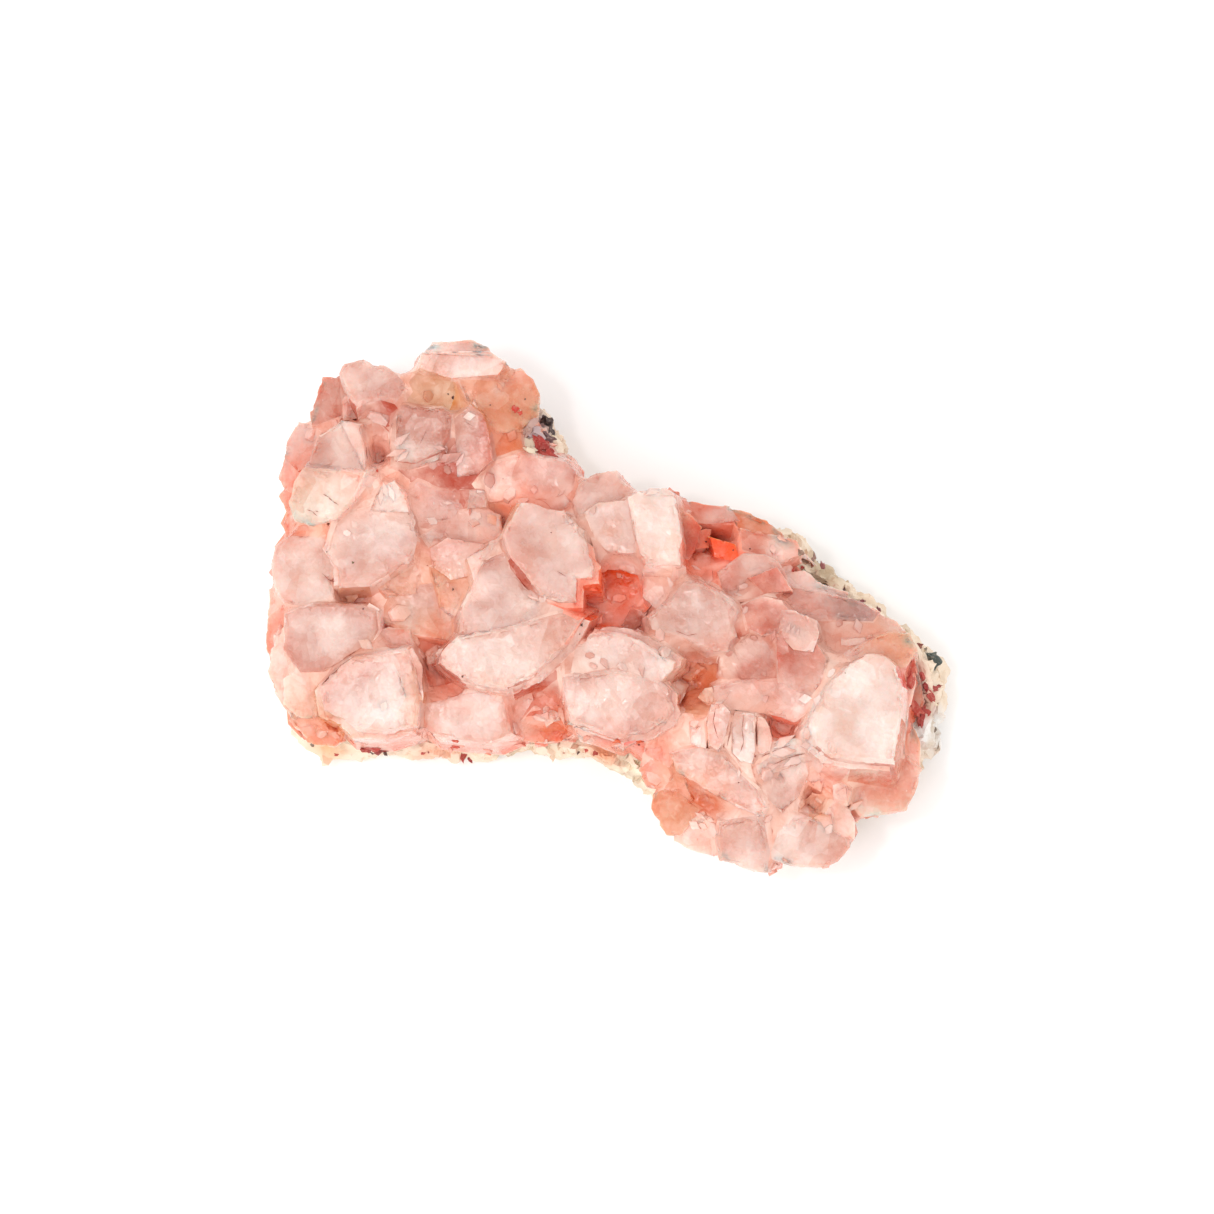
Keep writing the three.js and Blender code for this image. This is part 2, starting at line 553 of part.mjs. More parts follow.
// Split blades and the front lobe below them.
const frontLobe = [
  { // upright blades, left to right
    outline: [[11.6, -11.5], [12.3, -10.4], [13.6, -10.2], [14, -11.9], [12.8, -12.6]],
    top: 20.6, lean: [-4, -4],
  },
  {
    outline: [
      [13.5, -12.3], [15, -12.4], [15.9, -13.4], [15.2, -16.5], [14.3, -18.3], [13, -17.6], [12.8, -15],
    ],
    top: 21.9, lean: [-4, -6],
  },
  {
    outline: [
      [16.4, -13.4], [18.9, -13.6], [19, -18.8], [18.7, -20], [17, -19.6], [16.1, -18.6], [16.1, -16],
    ],
    top: 21.6, lean: [0, -6],
  },
  {
    outline: [[19.4, -13.9], [20.4, -14.1], [20.9, -15.2], [21.3, -17], [21, -18.3], [19.5, -18.8]],
    top: 21.6, lean: [5, -4],
  },
  {
    outline: [[10.6, -14.8], [12.6, -14.6], [12.8, -18.3], [10.8, -17.4]],
    top: 19.5, lean: [-8, -6],
  },
  { // laths lying across
    outline: [[21.2, -17.3], [24, -16.7], [26.2, -17.4], [25.8, -18.6], [22, -19.2], [20.4, -18.9]],
    top: 20.6, lean: [2, -10],
  },
  {
    outline: [
      [19.2, -20.2], [22, -18.6], [26.2, -17.6], [28.6, -19], [28, -19.8], [25, -19.9], [22, -21],
      [19.4, -21.6],
    ],
    top: 20, lean: [2, -12],
  },
  { // slope below the laths
    outline: [
      [18.8, -20.6], [22, -19.8], [25.4, -19.6], [25.9, -21.4], [24.6, -24.2], [22.4, -26.2],
      [20.4, -24.2], [19.2, -22.4],
    ],
    top: 19, lean: [0, -16],
  },
  {
    outline: [[20.8, -24.8], [24, -23.8], [25.3, -25.4], [23.6, -28.2], [21.4, -29], [20.4, -27]],
    top: 17, lean: [-3, -20],
  },
  { // long pale crystal
    outline: [
      [8.2, -18.4], [12, -17.6], [15, -18.8], [17.2, -21.4], [19.3, -23.5], [20.3, -25.6], [20, -27],
      [16.4, -25.4], [12.4, -23], [9.2, -20.8],
    ],
    top: 19.2, lean: [-6, -10],
  },
  { // its orange underside
    outline: [
      [9.8, -20.9], [13, -22.9], [17, -25.3], [19.9, -26.6], [17, -27.6], [14.2, -27.6], [11.2, -25],
    ],
    top: 16.3, lean: [-6, -30],
  },
  { // salmon back of the lobe
    outline: [[4.8, -15], [8.4, -14.2], [11, -14.6], [11.4, -18], [8, -20.6], [5, -18.8]],
    top: 16.8, lean: [-6, -8],
  },
  { // left foot
    outline: [
      [6.3, -23.8], [7.8, -23.2], [9.8, -24], [12, -26.4], [10.4, -28.2], [9, -29.6], [7.2, -29.2],
      [6, -25.6],
    ],
    top: 14.4, lean: [-26, -14], pull: 0,
  },
  {
    outline: [[9, -28.2], [10.8, -27], [12.6, -27.6], [14.2, -30], [14, -32.4], [11, -31.4], [8.7, -29.9]],
    top: 13.8, lean: [-14, -28], pull: 0,
  },
  {
    outline: [[10.9, -27.2], [12.5, -26.2], [13.3, -27], [11.6, -28.2]],
    top: 16, lean: [-10, -10],
  },
  { // front block
    outline: [
      [14.5, -27.5], [17, -27.1], [19.6, -26.9], [20.4, -28], [20.8, -31.5], [20.3, -34.3], [19, -34.1],
      [16.5, -33.1], [14.4, -32.4], [14.1, -29.5],
    ],
    top: 17.1, lean: [-4, -24], pull: 0,
  },
  { // front right block
    outline: [
      [21.2, -31.5], [22, -29], [24, -27.1], [26, -26.9], [28.2, -28], [30.6, -29.4], [31.1, -31],
      [29.8, -32.7], [28, -33.4], [24, -33.4], [21.4, -32.5],
    ],
    top: 16.6, lean: [6, -26], pull: 0,
  },
  { // side block
    outline: [
      [28, -26.4], [29.4, -24.8], [31.2, -25.8], [32, -27.2], [32, -29.6], [30.4, -29.4], [28.8, -28.3],
    ],
    top: 17.3, lean: [22, -12], pull: 0,
  },
  { // red step between them
    outline: [[25, -25.6], [26.4, -24.2], [28.4, -24.8], [29, -27], [26.4, -28], [24.6, -27.4]],
    top: 15.5, lean: [0, -8],
  },
  { // salmon block under the white one
    outline: [
      [28.6, -19], [33, -19.2], [36.6, -19.2], [38.6, -19], [40.6, -20.6], [40, -23.2], [38.8, -26],
      [36, -26.6], [33, -27.1], [31.4, -25], [28.2, -23.4], [26.4, -21.4],
    ],
    top: 16.6, lean: [14, -18], pull: 0,
  },
  { // pale chips on the salmon block
    outline: [[29, -22.8], [30.2, -22.4], [31.6, -23.4], [31, -25.4], [29.2, -25.2]],
    top: 18.1, lean: [4, -14],
  },
  { // right foot
    outline: [[37.4, -14.2], [39.6, -14.6], [40.6, -17], [40.6, -20.6], [37.6, -20]],
    top: 15.2, lean: [30, -6], pull: 0,
  },
];

const drawnCrystals = [...upperLobe, ...leftBody, ...middle, ...rightBody, ...frontLobe];

// ---- the crust and the small crystals on it ----
// The rind's outline, drawn at its own height, counterclockwise from the front left corner.
const rindOutline = [
  [-39.5, -14.6], [-36.5, -16.4], [-32, -16.8], [-28.6, -16], [-24, -16.2], [-18, -17], [-14, -16.2],
  [-8, -15.9], [-2, -16.4], [1.5, -18.2], [5.4, -20.8], [9, -22.4], [11, -25.6], [16, -28.4],
  [21, -29.4], [27.6, -28.6], [31, -25.6], [35.4, -22.6], [39.8, -19], [42.6, -15.6], [44, -12],
  [43.6, -8.8], [43, -5], [41.6, -2.6], [38.6, 0.2], [34.6, 3.4], [30.6, 5.6], [28.2, 8], [25.6, 11.2],
  [20, 12.4], [14, 13.4], [8, 14.6], [1, 16.2], [-4.4, 18.8], [-6.4, 22.6], [-7.4, 25.6], [-9.4, 29.4],
  [-14, 31.4], [-22, 31.6], [-30, 30.4], [-35.4, 28], [-38.6, 22.6], [-40, 15], [-40.6, 8], [-41.2, 0],
  [-41.2, -8],
];

const shrunk = (points, by) => {
  const [cx, cy] = centreOf(points);
  return points.map(([x, y]) => {
    const far = Math.hypot(x - cx, y - cy);
    return [x - ((x - cx) / far) * by, y - ((y - cy) / far) * by];
  });
};

const crustOutline = rindOutline.filter((point, i) => i % 2 === 0);
const crust = join([
  solidOf(plate(shrunk(crustOutline, 1.6), crustTop, crustTop - rindHeight + 1, 1.4)),
  solidOf(plate(shrunk(crustOutline, 5), moundTop, moundTop - rindHeight + 1, 2.2)),
]);

// A small crystal, as the cluster is sprinkled with: coffin-shaped, or a rhomb where corners is 4.
function smallCrystal([x, y, z], size, lean, vary, corners = 6) {
  const wide = size * vary(0.55, 0.8);
  const half = size * 0.5;
  const coffin = [[size, 0], [half, wide], [-half, wide], [-size, 0], [-half, -wide], [half, -wide]];
  const rhomb = [[size, 0], [size * 0.2, wide], [-size, 0], [-size * 0.2, -wide]];
  return solidOf(
    plate(corners === 4 ? rhomb : coffin, 0, vary(3.5, 6), 0)
      .rotateZ(vary(0, Math.PI))
      .rotateX(THREE.MathUtils.degToRad(-lean[1]))
      .rotateY(THREE.MathUtils.degToRad(lean[0]))
      .translate(x, y, z),
  );
}

// Around the rim, leaning outwards, and not where the bare rock shows at the right-hand end.
function rimCrystals() {
  const vary = random(41);
  const curve = new THREE.CatmullRomCurve3(
    shrunk(rindOutline, 1).map(([x, y]) => new THREE.Vector3(x, y, 0)),
    true,
  );
  const count = 46;
  const made = [];
  for (let i = 0; i < count; i++) {
    const t = (i + vary(0.2, 0.8)) / count;
    const [at, along] = [curve.getPointAt(t), curve.getTangentAt(t)];
    const bareEnd = at.x > 36 && at.y > -19;
    const bareNotch = at.x > -11 && at.x < -4 && at.y > 18;
    const bareRim = at.x > 20 && at.y > 2;
    if (bareEnd || bareNotch || bareRim) continue;
    const front = at.y < -12 && at.x < 6;
    const tip = vary(30, 65);
    const size = front ? vary(1.8, 3.2) : vary(2, 4);
    const height = front ? vary(8.6, 12) : vary(8.6, 14);
    const out = front ? -0.7 : vary(0, 1.2);
    const place = [at.x + along.y * out, at.y - along.x * out, height];
    made.push(smallCrystal(place, size, [along.y * tip, -along.x * tip], vary));
  }
  return made;
}

// On the floor of the hollows between the big crystals.
const hollows = [
  [-29, 21], [-33, 25.6], [-37.6, 9.8], [-33, 1.6], [-22.4, -6.4], [-12.6, 8], [-1, 1.4], [3.6, -1.8],
  [11, -8.4], [9, -11], [12.6, 8.6], [15.4, 7], [22.6, -15.4], [27, -22.4], [18.6, -25], [-6.4, 13.6],
];

function hollowCrystals() {
  const vary = random(97);
  return hollows.map(([x, y]) => {
    const place = [x, planY(y, 17), vary(17.4, 18.8)];
    return smallCrystal(place, vary(1.8, 2.8), [vary(-30, 30), vary(-30, 30)], vary, 4);
  });
}

// ---- the rock rind ----
// Where the rock is bare it stands up as broken shelves, drawn counterclockwise in plan.
const endShelf = [
  [36, -16.6], [39, -17.8], [41.4, -16.4], [42.9, -14], [42.4, -11.2], [42.8, -8.6], [41.8, -6.4],
  [40.8, -4.2], [38.8, -2.6], [37, -0.8], [34, 0.8], [32, 3], [29.4, 4.4], [27.6, 6.8], [25, 8],
  [23.4, 9.8], [20.6, 10], [21, 7], [25, 4], [30, 1], [35, -4], [36.4, -9],
];
const notchShelf = [
  [-9.6, 19.6], [-5, 18.6], [-6, 20.8], [-6.2, 23.2], [-7.6, 24.6], [-7.2, 26.6], [-9.2, 28.2],
  [-11.6, 25], [-11, 22],
];
const frontKnob = [[2, -15], [1.6, -18.2], [4, -19.6], [6.6, -21.2], [8.4, -20.6], [8, -17], [6, -15]];

// The outward direction at each corner of a counterclockwise outline.
function outwardAt(outline) {
  return outline.map((corner, i) => {
    const before = outline[(i + outline.length - 1) % outline.length];
    const after = outline[(i + 1) % outline.length];
    const along = corner.clone().sub(before).normalize().add(after.clone().sub(corner).normalize());
    return new THREE.Vector2(along.y, -along.x).normalize();
  });
}

// A slab of broken rock. grow moves its faces out by that much, and a seed breaks it the same way.
function brokenSlab(points, bottom, top, grow, seed) {
  const vary = random(seed);
  const outline = points.map(([x, y]) => new THREE.Vector2(x, y));
  const outward = outwardAt(outline);
  const extruded = new THREE.ExtrudeGeometry(new THREE.Shape(outline), {
    depth: top - bottom,
    steps: 3,
    bevelEnabled: false,
  });
  extruded.deleteAttribute('normal');
  extruded.deleteAttribute('uv');
  const slab = mergeVertices(extruded, 1e-4);
  const places = slab.attributes.position;
  for (let i = 0; i < places.count; i++) {
    const [x, y, z] = [places.getX(i), places.getY(i), places.getZ(i)];
    const corner = outline.findIndex((point) => Math.hypot(point.x - x, point.y - y) < 1e-3);
    const level = Math.round((z * 3) / (top - bottom));
    const bulge = [-1.6, 0.3, 0.7, -0.4][level] + vary(-0.9, 0.7) + grow;
    const rise = level > 0 ? vary(-0.7, 0.6) + grow : 0;
    places.setXYZ(i, x + outward[corner].x * bulge, y + outward[corner].y * bulge, bottom + z + rise);
  }
  return solidOf(slab);
}

const rock = (grow) =>
  join([
    brokenSlab(rindOutline, 0, rindHeight, grow, 5),
    brokenSlab(endShelf, 2, 12.2, grow, 11),
    brokenSlab(notchShelf, 2, 13, grow, 23),
    brokenSlab(frontKnob, 2, 9.4, grow, 7),
  ]);

// ---- the object ----
const rind = rock(0);
const tooLow = solidOf(new THREE.BoxGeometry(200, 200, 40).translate(0, 0, lowestCrystal - 20));
const crystals = join([
  crust,
  ...drawnCrystals.flatMap(crystal),
  ...rimCrystals(),
  ...hollowCrystals(),
])
  .subtract(rock(seatGap))
  .subtract(tooLow)
  .simplify(0.07);

const crystalMaterial = new THREE.MeshStandardMaterial({ color: 0xeebcb0, roughness: 0.35, metalness: 0 });
const rockMaterial = new THREE.MeshStandardMaterial({ color: 0xd8c7ac, roughness: 0.9, metalness: 0 });

const specimen = new THREE.Group();
const biggest = crystals.decompose().sort((a, b) => b.volume() - a.volume())[0];
const crystalMesh = new THREE.Mesh(geometryOf(biggest), crystalMaterial);
crystalMesh.name = 'heulandite_crystals';
const rindMesh = new THREE.Mesh(geometryOf(rind), rockMaterial);
rindMesh.name = 'rock_rind';
specimen.add(crystalMesh, rindMesh);

// The origin goes to the middle of the underside.
const box = new THREE.Box3().setFromObject(specimen);
const middlePoint = box.getCenter(new THREE.Vector3());
for (const mesh of specimen.children) mesh.position.set(-middlePoint.x, -middlePoint.y, -box.min.z);

export default specimen;
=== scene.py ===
import math
import random

import bmesh
import bpy
import numpy as np
from mathutils import Matrix, Vector, noise
from mathutils.bvhtree import BVHTree


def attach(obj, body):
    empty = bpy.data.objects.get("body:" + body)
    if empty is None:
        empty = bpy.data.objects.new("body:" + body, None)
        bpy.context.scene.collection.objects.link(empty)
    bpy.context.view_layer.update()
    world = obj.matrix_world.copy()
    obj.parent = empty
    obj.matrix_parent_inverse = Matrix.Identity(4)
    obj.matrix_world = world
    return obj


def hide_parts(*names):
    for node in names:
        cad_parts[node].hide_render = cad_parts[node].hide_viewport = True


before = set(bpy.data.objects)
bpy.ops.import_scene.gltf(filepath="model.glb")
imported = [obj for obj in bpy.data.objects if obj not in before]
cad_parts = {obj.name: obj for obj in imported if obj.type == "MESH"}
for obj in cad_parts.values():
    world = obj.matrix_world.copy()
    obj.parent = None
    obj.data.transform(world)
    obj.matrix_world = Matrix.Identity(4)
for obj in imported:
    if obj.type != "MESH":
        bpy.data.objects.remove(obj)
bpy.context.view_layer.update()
print("frame loaded")
noise.seed_set(1)  # noise_vector would start from the clock otherwise

mm = 0.001  # one millimetre in the scene's metres
reach = 52  # mm, half the side of the square that the height grids cover
aloft = 60  # mm, a height above everything, where rays start
drawn = {"offset": (0.154, 0.065), "height": 18.0, "lean": 12.0}  # mm, mm, degrees off the vertical
lean = math.radians(drawn["lean"])
sight = Vector((0, math.sin(lean), -math.cos(lean)))  # the way the viewer looks


def linear(hexColour):  # sRGB hex to linear light
    values = [int(hexColour[i:i + 2], 16) / 255 for i in (1, 3, 5)]
    return [v / 12.92 if v <= 0.04045 else ((v + 0.055) / 1.055) ** 2.4 for v in values]


def only(obj):  # selects this object alone
    if bpy.context.mode != "OBJECT":
        bpy.ops.object.mode_set(mode="OBJECT")
    bpy.ops.object.select_all(action="DESELECT")
    obj.select_set(True)
    bpy.context.view_layer.objects.active = obj


def copyOfNode(nodeName, name):  # a merged copy of a CAD node, free of its import normals
    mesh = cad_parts[nodeName].data.copy()
    mesh.name = name
    mesh.materials.clear()
    obj = bpy.data.objects.new(name, mesh)
    bpy.context.scene.collection.objects.link(obj)
    only(obj)
    if mesh.has_custom_normals:
        bpy.ops.mesh.customdata_custom_splitnormals_clear()
    bpy.ops.object.mode_set(mode="EDIT")
    bpy.ops.mesh.select_all(action="SELECT")
    bpy.ops.mesh.remove_doubles(threshold=0.002 * mm)
    bpy.ops.mesh.dissolve_limited(angle_limit=math.radians(1.5))
    bpy.ops.object.mode_set(mode="OBJECT")
    return obj


def refine(obj, target, passes, keep):  # splits the edges longer than target, where keep(point) is true
    only(obj)
    bpy.ops.object.mode_set(mode="EDIT")
    bpy.ops.mesh.select_all(action="SELECT")
    bpy.ops.mesh.quads_convert_to_tris(quad_method="BEAUTY", ngon_method="BEAUTY")
    for _ in range(passes):
        bpy.ops.mesh.select_all(action="DESELECT")
        bpy.ops.mesh.select_mode(type="EDGE")
        shape = bmesh.from_edit_mesh(obj.data)
        count = 0
        for edge in shape.edges:
            a, b = edge.verts
            if (a.co - b.co).length > target and keep((a.co + b.co) / 2):
                edge.select = True
                count += 1
        bmesh.update_edit_mesh(obj.data)
        if not count:
            break
        bpy.ops.mesh.subdivide(number_cuts=1, ngon=False)
        bpy.ops.mesh.select_all(action="SELECT")
        bpy.ops.mesh.quads_convert_to_tris(quad_method="BEAUTY", ngon_method="BEAUTY")
    bpy.ops.object.mode_set(mode="OBJECT")


def pointsOf(obj):  # the mesh's points in mm, one row each
    places = np.empty(len(obj.data.vertices) * 3)
    obj.data.vertices.foreach_get("co", places)
    return places.reshape(-1, 3) / mm


def seen(places):  # where the viewer sees each point: mm right of and above the drawing's middle
    offsetX, offsetY = drawn["offset"]
    above = places[:, 2] - drawn["height"]
    return places[:, 0] + offsetX, (places[:, 1] + offsetY) * math.cos(lean) + above * math.sin(lean)


def fromDrawing(x, y):  # the point of the object's space that is drawn there, at the drawing's own height
    offsetX, offsetY = drawn["offset"]
    return Vector((x - offsetX, y / math.cos(lean) - offsetY, drawn["height"])) * mm


def ripple(places, size, octaves=2):  # a smooth random height between about -1 and 1, size in mm
    return np.array([noise.fractal(Vector(p) / size, 0.7, 2.1, octaves) for p in places])


def mosaic(places, size, warp, seed):  # a height from 0 to 1 that is even within each angular patch
    levels = (0.0, 0.0, 0.25, 0.5, 0.5, 1.0)
    found = np.empty(len(places))
    shift = Vector((seed * 3.1, seed * 1.7, seed * 2.3))
    for i, place in enumerate(places):
        point = Vector(place) / size + shift
        point += noise.noise_vector(Vector(place) * 1.6 + shift) * warp
        cell = noise.voronoi(point, distance_metric="CHEBYCHEV")[1][0]
        found[i] = levels[int(abs(math.sin(cell.x * 12.99 + cell.y * 78.23 + cell.z * 37.72) * 43758.5)) % 6]
    return found


def push(obj, name, heights, direction="NORMAL"):  # moves each point by its own height in mm
    for label, part in (("out", np.clip(heights, 0, None)), ("in", np.clip(-heights, 0, None))):
        most = float(part.max())
        if most <= 0:
            continue
        group = obj.vertex_groups.new(name=f"{name} {label}")
        steps = np.round(part / most * 400).astype(int)
        for step in range(1, 401):
            group.add(np.nonzero(steps == step)[0].tolist(), step / 400, "REPLACE")
        displace = obj.modifiers.new(name, "DISPLACE")
        displace.strength = (most if label == "out" else -most) * mm
        displace.mid_level = 0
        displace.direction = direction
        displace.vertex_group = group.name
        only(obj)
        bpy.ops.object.modifier_apply(modifier=displace.name)
        obj.vertex_groups.clear()


def edgeWeights(obj, steps):  # how near each point is to a sharp outer edge, from 0 to 1
    shape = bmesh.new()
    shape.from_mesh(obj.data)
    sharp = np.zeros(len(shape.verts))
    ends = np.array([(e.verts[0].index, e.verts[1].index) for e in shape.edges])
    for edge in shape.edges:
        if len(edge.link_faces) == 2 and edge.is_convex and edge.calc_face_angle(0) > math.radians(28):
            sharp[edge.verts[0].index] = 1
            sharp[edge.verts[1].index] = 1
    shape.free()
    for _ in range(steps):
        spread = sharp.copy()
        np.maximum.at(spread, ends[:, 0], sharp[ends[:, 1]] * 0.5)
        np.maximum.at(spread, ends[:, 1], sharp[ends[:, 0]] * 0.5)
        sharp = spread
    return sharp


def cellsOf(places, cell):  # the row and column of each point in a grid seen from above
    return ((places[:, 0] + reach) / cell).astype(int), ((places[:, 1] + reach) / cell).astype(int)


def spreadOver(grid, cells, pick):  # the highest or lowest value within so many cells, by pick
    found = grid.copy()
    for dx in range(-cells, cells + 1):
        for dy in range(-cells, cells + 1):
            if dx * dx + dy * dy <= cells * cells:
                found = pick(found, np.roll(np.roll(grid, dx, 0), dy, 1))
    return found


def smoothed(grid, times):
    for _ in range(times):
        around = [np.roll(grid, step, axis) for axis in (0, 1) for step in (-1, 1)]
        grid = (grid + sum(around)) / 5
    return grid


def treeOf(obj):
    return BVHTree.FromPolygons([v.co for v in obj.data.vertices], [p.vertices for p in obj.data.polygons])


def surfaceGrid(tree, cell):  # the height of the surface under the middle of each cell, in mm
    count = int(2 * reach / cell)
    grid = np.zeros((count, count))
    for i in range(count):
        for j in range(count):
            start = Vector(((i + 0.5) * cell - reach, (j + 0.5) * cell - reach, aloft)) * mm
            place = tree.ray_cast(start, Vector((0, 0, -1)))[0]
            if place is not None:
                grid[i, j] = place.z / mm
    return grid


def between(grid, places, cell):  # the grid's value at each point, from the four cells around it
    x, y = (places[:, 0] + reach) / cell - 0.5, (places[:, 1] + reach) / cell - 0.5
    i, j = np.floor(x).astype(int), np.floor(y).astype(int)
    corners = [grid[i, j], grid[i + 1, j], grid[i, j + 1], grid[i + 1, j + 1]]
    x, y = x - i, y - j
    return (corners[0] * (1 - x) + corners[1] * x) * (1 - y) + (corners[2] * (1 - x) + corners[3] * x) * y


def topsOf(places, cell):  # the highest point in each cell
    tops = np.zeros((int(2 * reach / cell), int(2 * reach / cell)))
    np.maximum.at(tops, cellsOf(places, cell), places[:, 2])
    return tops


def openAt(places):  # 1 inside a hollow that stays open, 0 away from it
    x, y = seen(places)
    inside = np.zeros(len(places))
    for hollowX, hollowY, radius in hollows:
        inside = np.maximum(inside, np.clip(1.5 - np.hypot(x - hollowX, y - hollowY) / radius, 0, 1))
    return inside


def relax(obj, weights, times):  # evens out the mesh where the weights are above 0
    group = obj.vertex_groups.new(name="relaxed")
    steps = np.round(weights * 50).astype(int)
    for step in range(1, 51):
        group.add(np.nonzero(steps == step)[0].tolist(), step / 50, "REPLACE")
    smooth = obj.modifiers.new("relaxed", "SMOOTH")
    smooth.factor = 0.5
    smooth.iterations = times
    smooth.vertex_group = group.name
    only(obj)
    bpy.ops.object.modifier_apply(modifier=smooth.name)
    obj.vertex_groups.clear()


# stores one value for each point, face or corner
def keepValues(obj, name, values, kind="FLOAT", domain="POINT"):
    layer = obj.data.attributes.new(name, kind, domain)
    if kind == "FLOAT":
        layer.data.foreach_set("value", values)
    else:
        layer.data.foreach_set("color", np.hstack([values, np.ones((len(values), 1))]).ravel())


def ridesAs(obj, slot, *nodes):
    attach(obj, "root")
    if nodes:
        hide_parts(*nodes)


# the shape of the crystals
growth = {
    "edge": 0.56,  # mm, the mesh is this fine where it is seen
    "cleftEdge": 1.0,  # mm, and this fine while the clefts are filled
    "fineFrom": 10.0,  # mm, below this height the mesh stays coarse
    "cell": 0.3,  # mm, spacing of the grid that the clefts are measured on
    "healed": 7,  # clefts narrower than twice this many cells are filled
    "healing": 0.99,  # and by this share of their depth
    "waves": (9.0, 0.08),  # mm: size and height of the gentle unevenness of the faces
    "plates": (4.2, 0.08),  # the same for the plates that a face is built of
    "panes": 1.7,  # mm, size of the smaller patches inside a plate
    "frosting": (1.0, 0.02),  # size and height of the etching
    "teeth": (1.3, 0.3),  # and of the notches in the edges
}

# the hollows that stay open: x, y on the drawing and radius in mm
hollows = [
    (0.4, 0.6, 4.8), (3.2, -2.4, 2.4), (12.6, 7.8, 3.4), (10.4, -9.4, 3.0), (9.0, -11.6, 1.8),
    (-32.4, 1.4, 2.8), (-20.6, -7.2, 3.6), (22.8, -15.2, 2.0), (26.4, -25.8, 1.2), (-32.6, 25.4, 1.6),
    (-29.6, 19.4, 1.4), (-14.0, 11.0, 2.0), (-8.6, 21.0, 2.2), (-28.6, -2.2, 1.2),
    (23.8, 3.2, 2.6), (-19.4, 33.8, 1.6), (-12.8, 33.4, 1.4), (31.4, -28.2, 1.6),
]


# for each face smaller than this many square mm its broadest neighbour, for the others themselves
def leaders(polygons, smallest):
    sharing = {}
    for p in polygons:
        for key in p.edge_keys:
            sharing.setdefault(key, []).append(p.index)
    owner = np.arange(len(polygons))
    for p in polygons:
        if p.area < smallest * mm ** 2:
            nearby = [polygons[i] for key in p.edge_keys for i in sharing[key]]
            owner[p.index] = max(nearby, key=lambda q: q.area * (q.normal.dot(p.normal) > 0.3)).index
    return owner[owner]


crystals = copyOfNode("heulandite_crystals", "crystals")
dice = random.Random(8)
polygons = crystals.data.polygons
facetX, facetY = seen(np.array([p.center for p in polygons]) / mm)  # where each flat face lies on the drawing
owner = leaders(polygons, 6.0)
# every broad face has a number of its own
keepValues(crystals, "facet", np.array([dice.random() for _ in polygons])[owner], domain="FACE")
keepValues(crystals, "facetX", facetX[owner], domain="FACE")
keepValues(crystals, "facetY", facetY[owner], domain="FACE")
# how steep each face is; the crystal material paints shade on the steep sides from it
keepValues(crystals, "flank", [min(1, max(0, (0.8 - p.normal.z) / 0.5)) for p in polygons], domain="FACE")
refine(crystals, growth["cleftEdge"] * mm, 6, lambda p: p.z > growth["fineFrom"] * mm)

# the clefts between neighbouring crystals are filled, as they have grown into one another
tops = surfaceGrid(treeOf(crystals), growth["cell"])
closed = spreadOver(spreadOver(tops, growth["healed"], np.maximum), growth["healed"], np.minimum)
clefts = spreadOver(closed - tops, 5, np.maximum)  # how deep the clefts near each cell are
places = pointsOf(crystals)
level, near = between(smoothed(closed, 1), places, growth["cell"]), between(clefts, places, growth["cell"])
rise = np.clip(np.minimum(level - places[:, 2], near), 0, None) * growth["healing"]
rise *= (1 - openAt(places)) * np.clip((places[:, 2] - growth["fineFrom"]) / 2, 0, 1)
push(crystals, "healing", rise, "Z")
relax(crystals, np.clip(rise / 1.2, 0, 1), 2)
keepValues(crystals, "squeezed", np.clip(rise / 1.2, 0, 1))
print("clefts healed")

# what is seen from above gets a finer mesh
tops = surfaceGrid(treeOf(crystals), growth["cell"])


def inView(place):
    i, j = int((place.x / mm + reach) / growth["cell"]), int((place.y / mm + reach) / growth["cell"])
    return place.z / mm > max(growth["fineFrom"], tops[i, j] - 1.5)


refine(crystals, growth["edge"] * mm, 4, inView)
print("crystals refined:", len(crystals.data.polygons), "faces")

places = pointsOf(crystals)
squeezed = np.empty(len(places))
crystals.data.attributes["squeezed"].data.foreach_get("value", squeezed)
nearEdge = edgeWeights(crystals, 1)
shown = np.clip((places[:, 2] - growth["fineFrom"]) / 1.5, 0, 1) * (1 - 0.7 * squeezed)
plates = mosaic(places, growth["plates"][0], 0.1, 1)
heights = ripple(places, growth["waves"][0]) * growth["waves"][1]
heights += (plates - 0.35) * growth["plates"][1]
heights += ripple(places, growth["frosting"][0]) * growth["frosting"][1]
heights -= nearEdge * mosaic(places, growth["teeth"][0], 0.2, 3) * growth["teeth"][1]
push(crystals, "growth", heights * shown)
keepValues(crystals, "plate", plates * 0.6 + mosaic(places, growth["panes"], 0.16, 7) * 0.4)
print("crystals shaped")

# the shape of the rind
rockFeel = {
    "edge": 0.7,  # mm, fineness of the mesh
    "lumps": (4.0, 0.8),  # mm: size and height
    "breaks": (2.2, 0.9),
    "grains": (0.9, 0.25),
}

rind = copyOfNode("rock_rind", "rind")
refine(rind, rockFeel["edge"] * mm, 7, lambda p: p.z > 0.2 * mm)
places = pointsOf(rind)
notUnder = np.clip(places[:, 2] / 1.5, 0, 1)
heights = ripple(places, rockFeel["lumps"][0]) * rockFeel["lumps"][1]
heights += (mosaic(places, rockFeel["breaks"][0], 0.3, 5) - 0.4) * rockFeel["breaks"][1]
heights += ripple(places, rockFeel["grains"][0]) * rockFeel["grains"][1]
push(rind, "breakage", heights * notUnder)
print("rind shaped:", len(rind.data.polygons), "faces")

crystalTree, rindTree = treeOf(crystals), treeOf(rind)


def landing(x, y):  # the surface point and normal that are seen at a point of the drawing
    start = fromDrawing(x, y) - sight * aloft * mm
    hits = [tree.ray_cast(start, sight) for tree in (crystalTree, rindTree)]
    hits = [hit for hit in hits if hit[0] is not None]
    return min(hits, key=lambda hit: hit[3])[:2] if hits else (None, None)


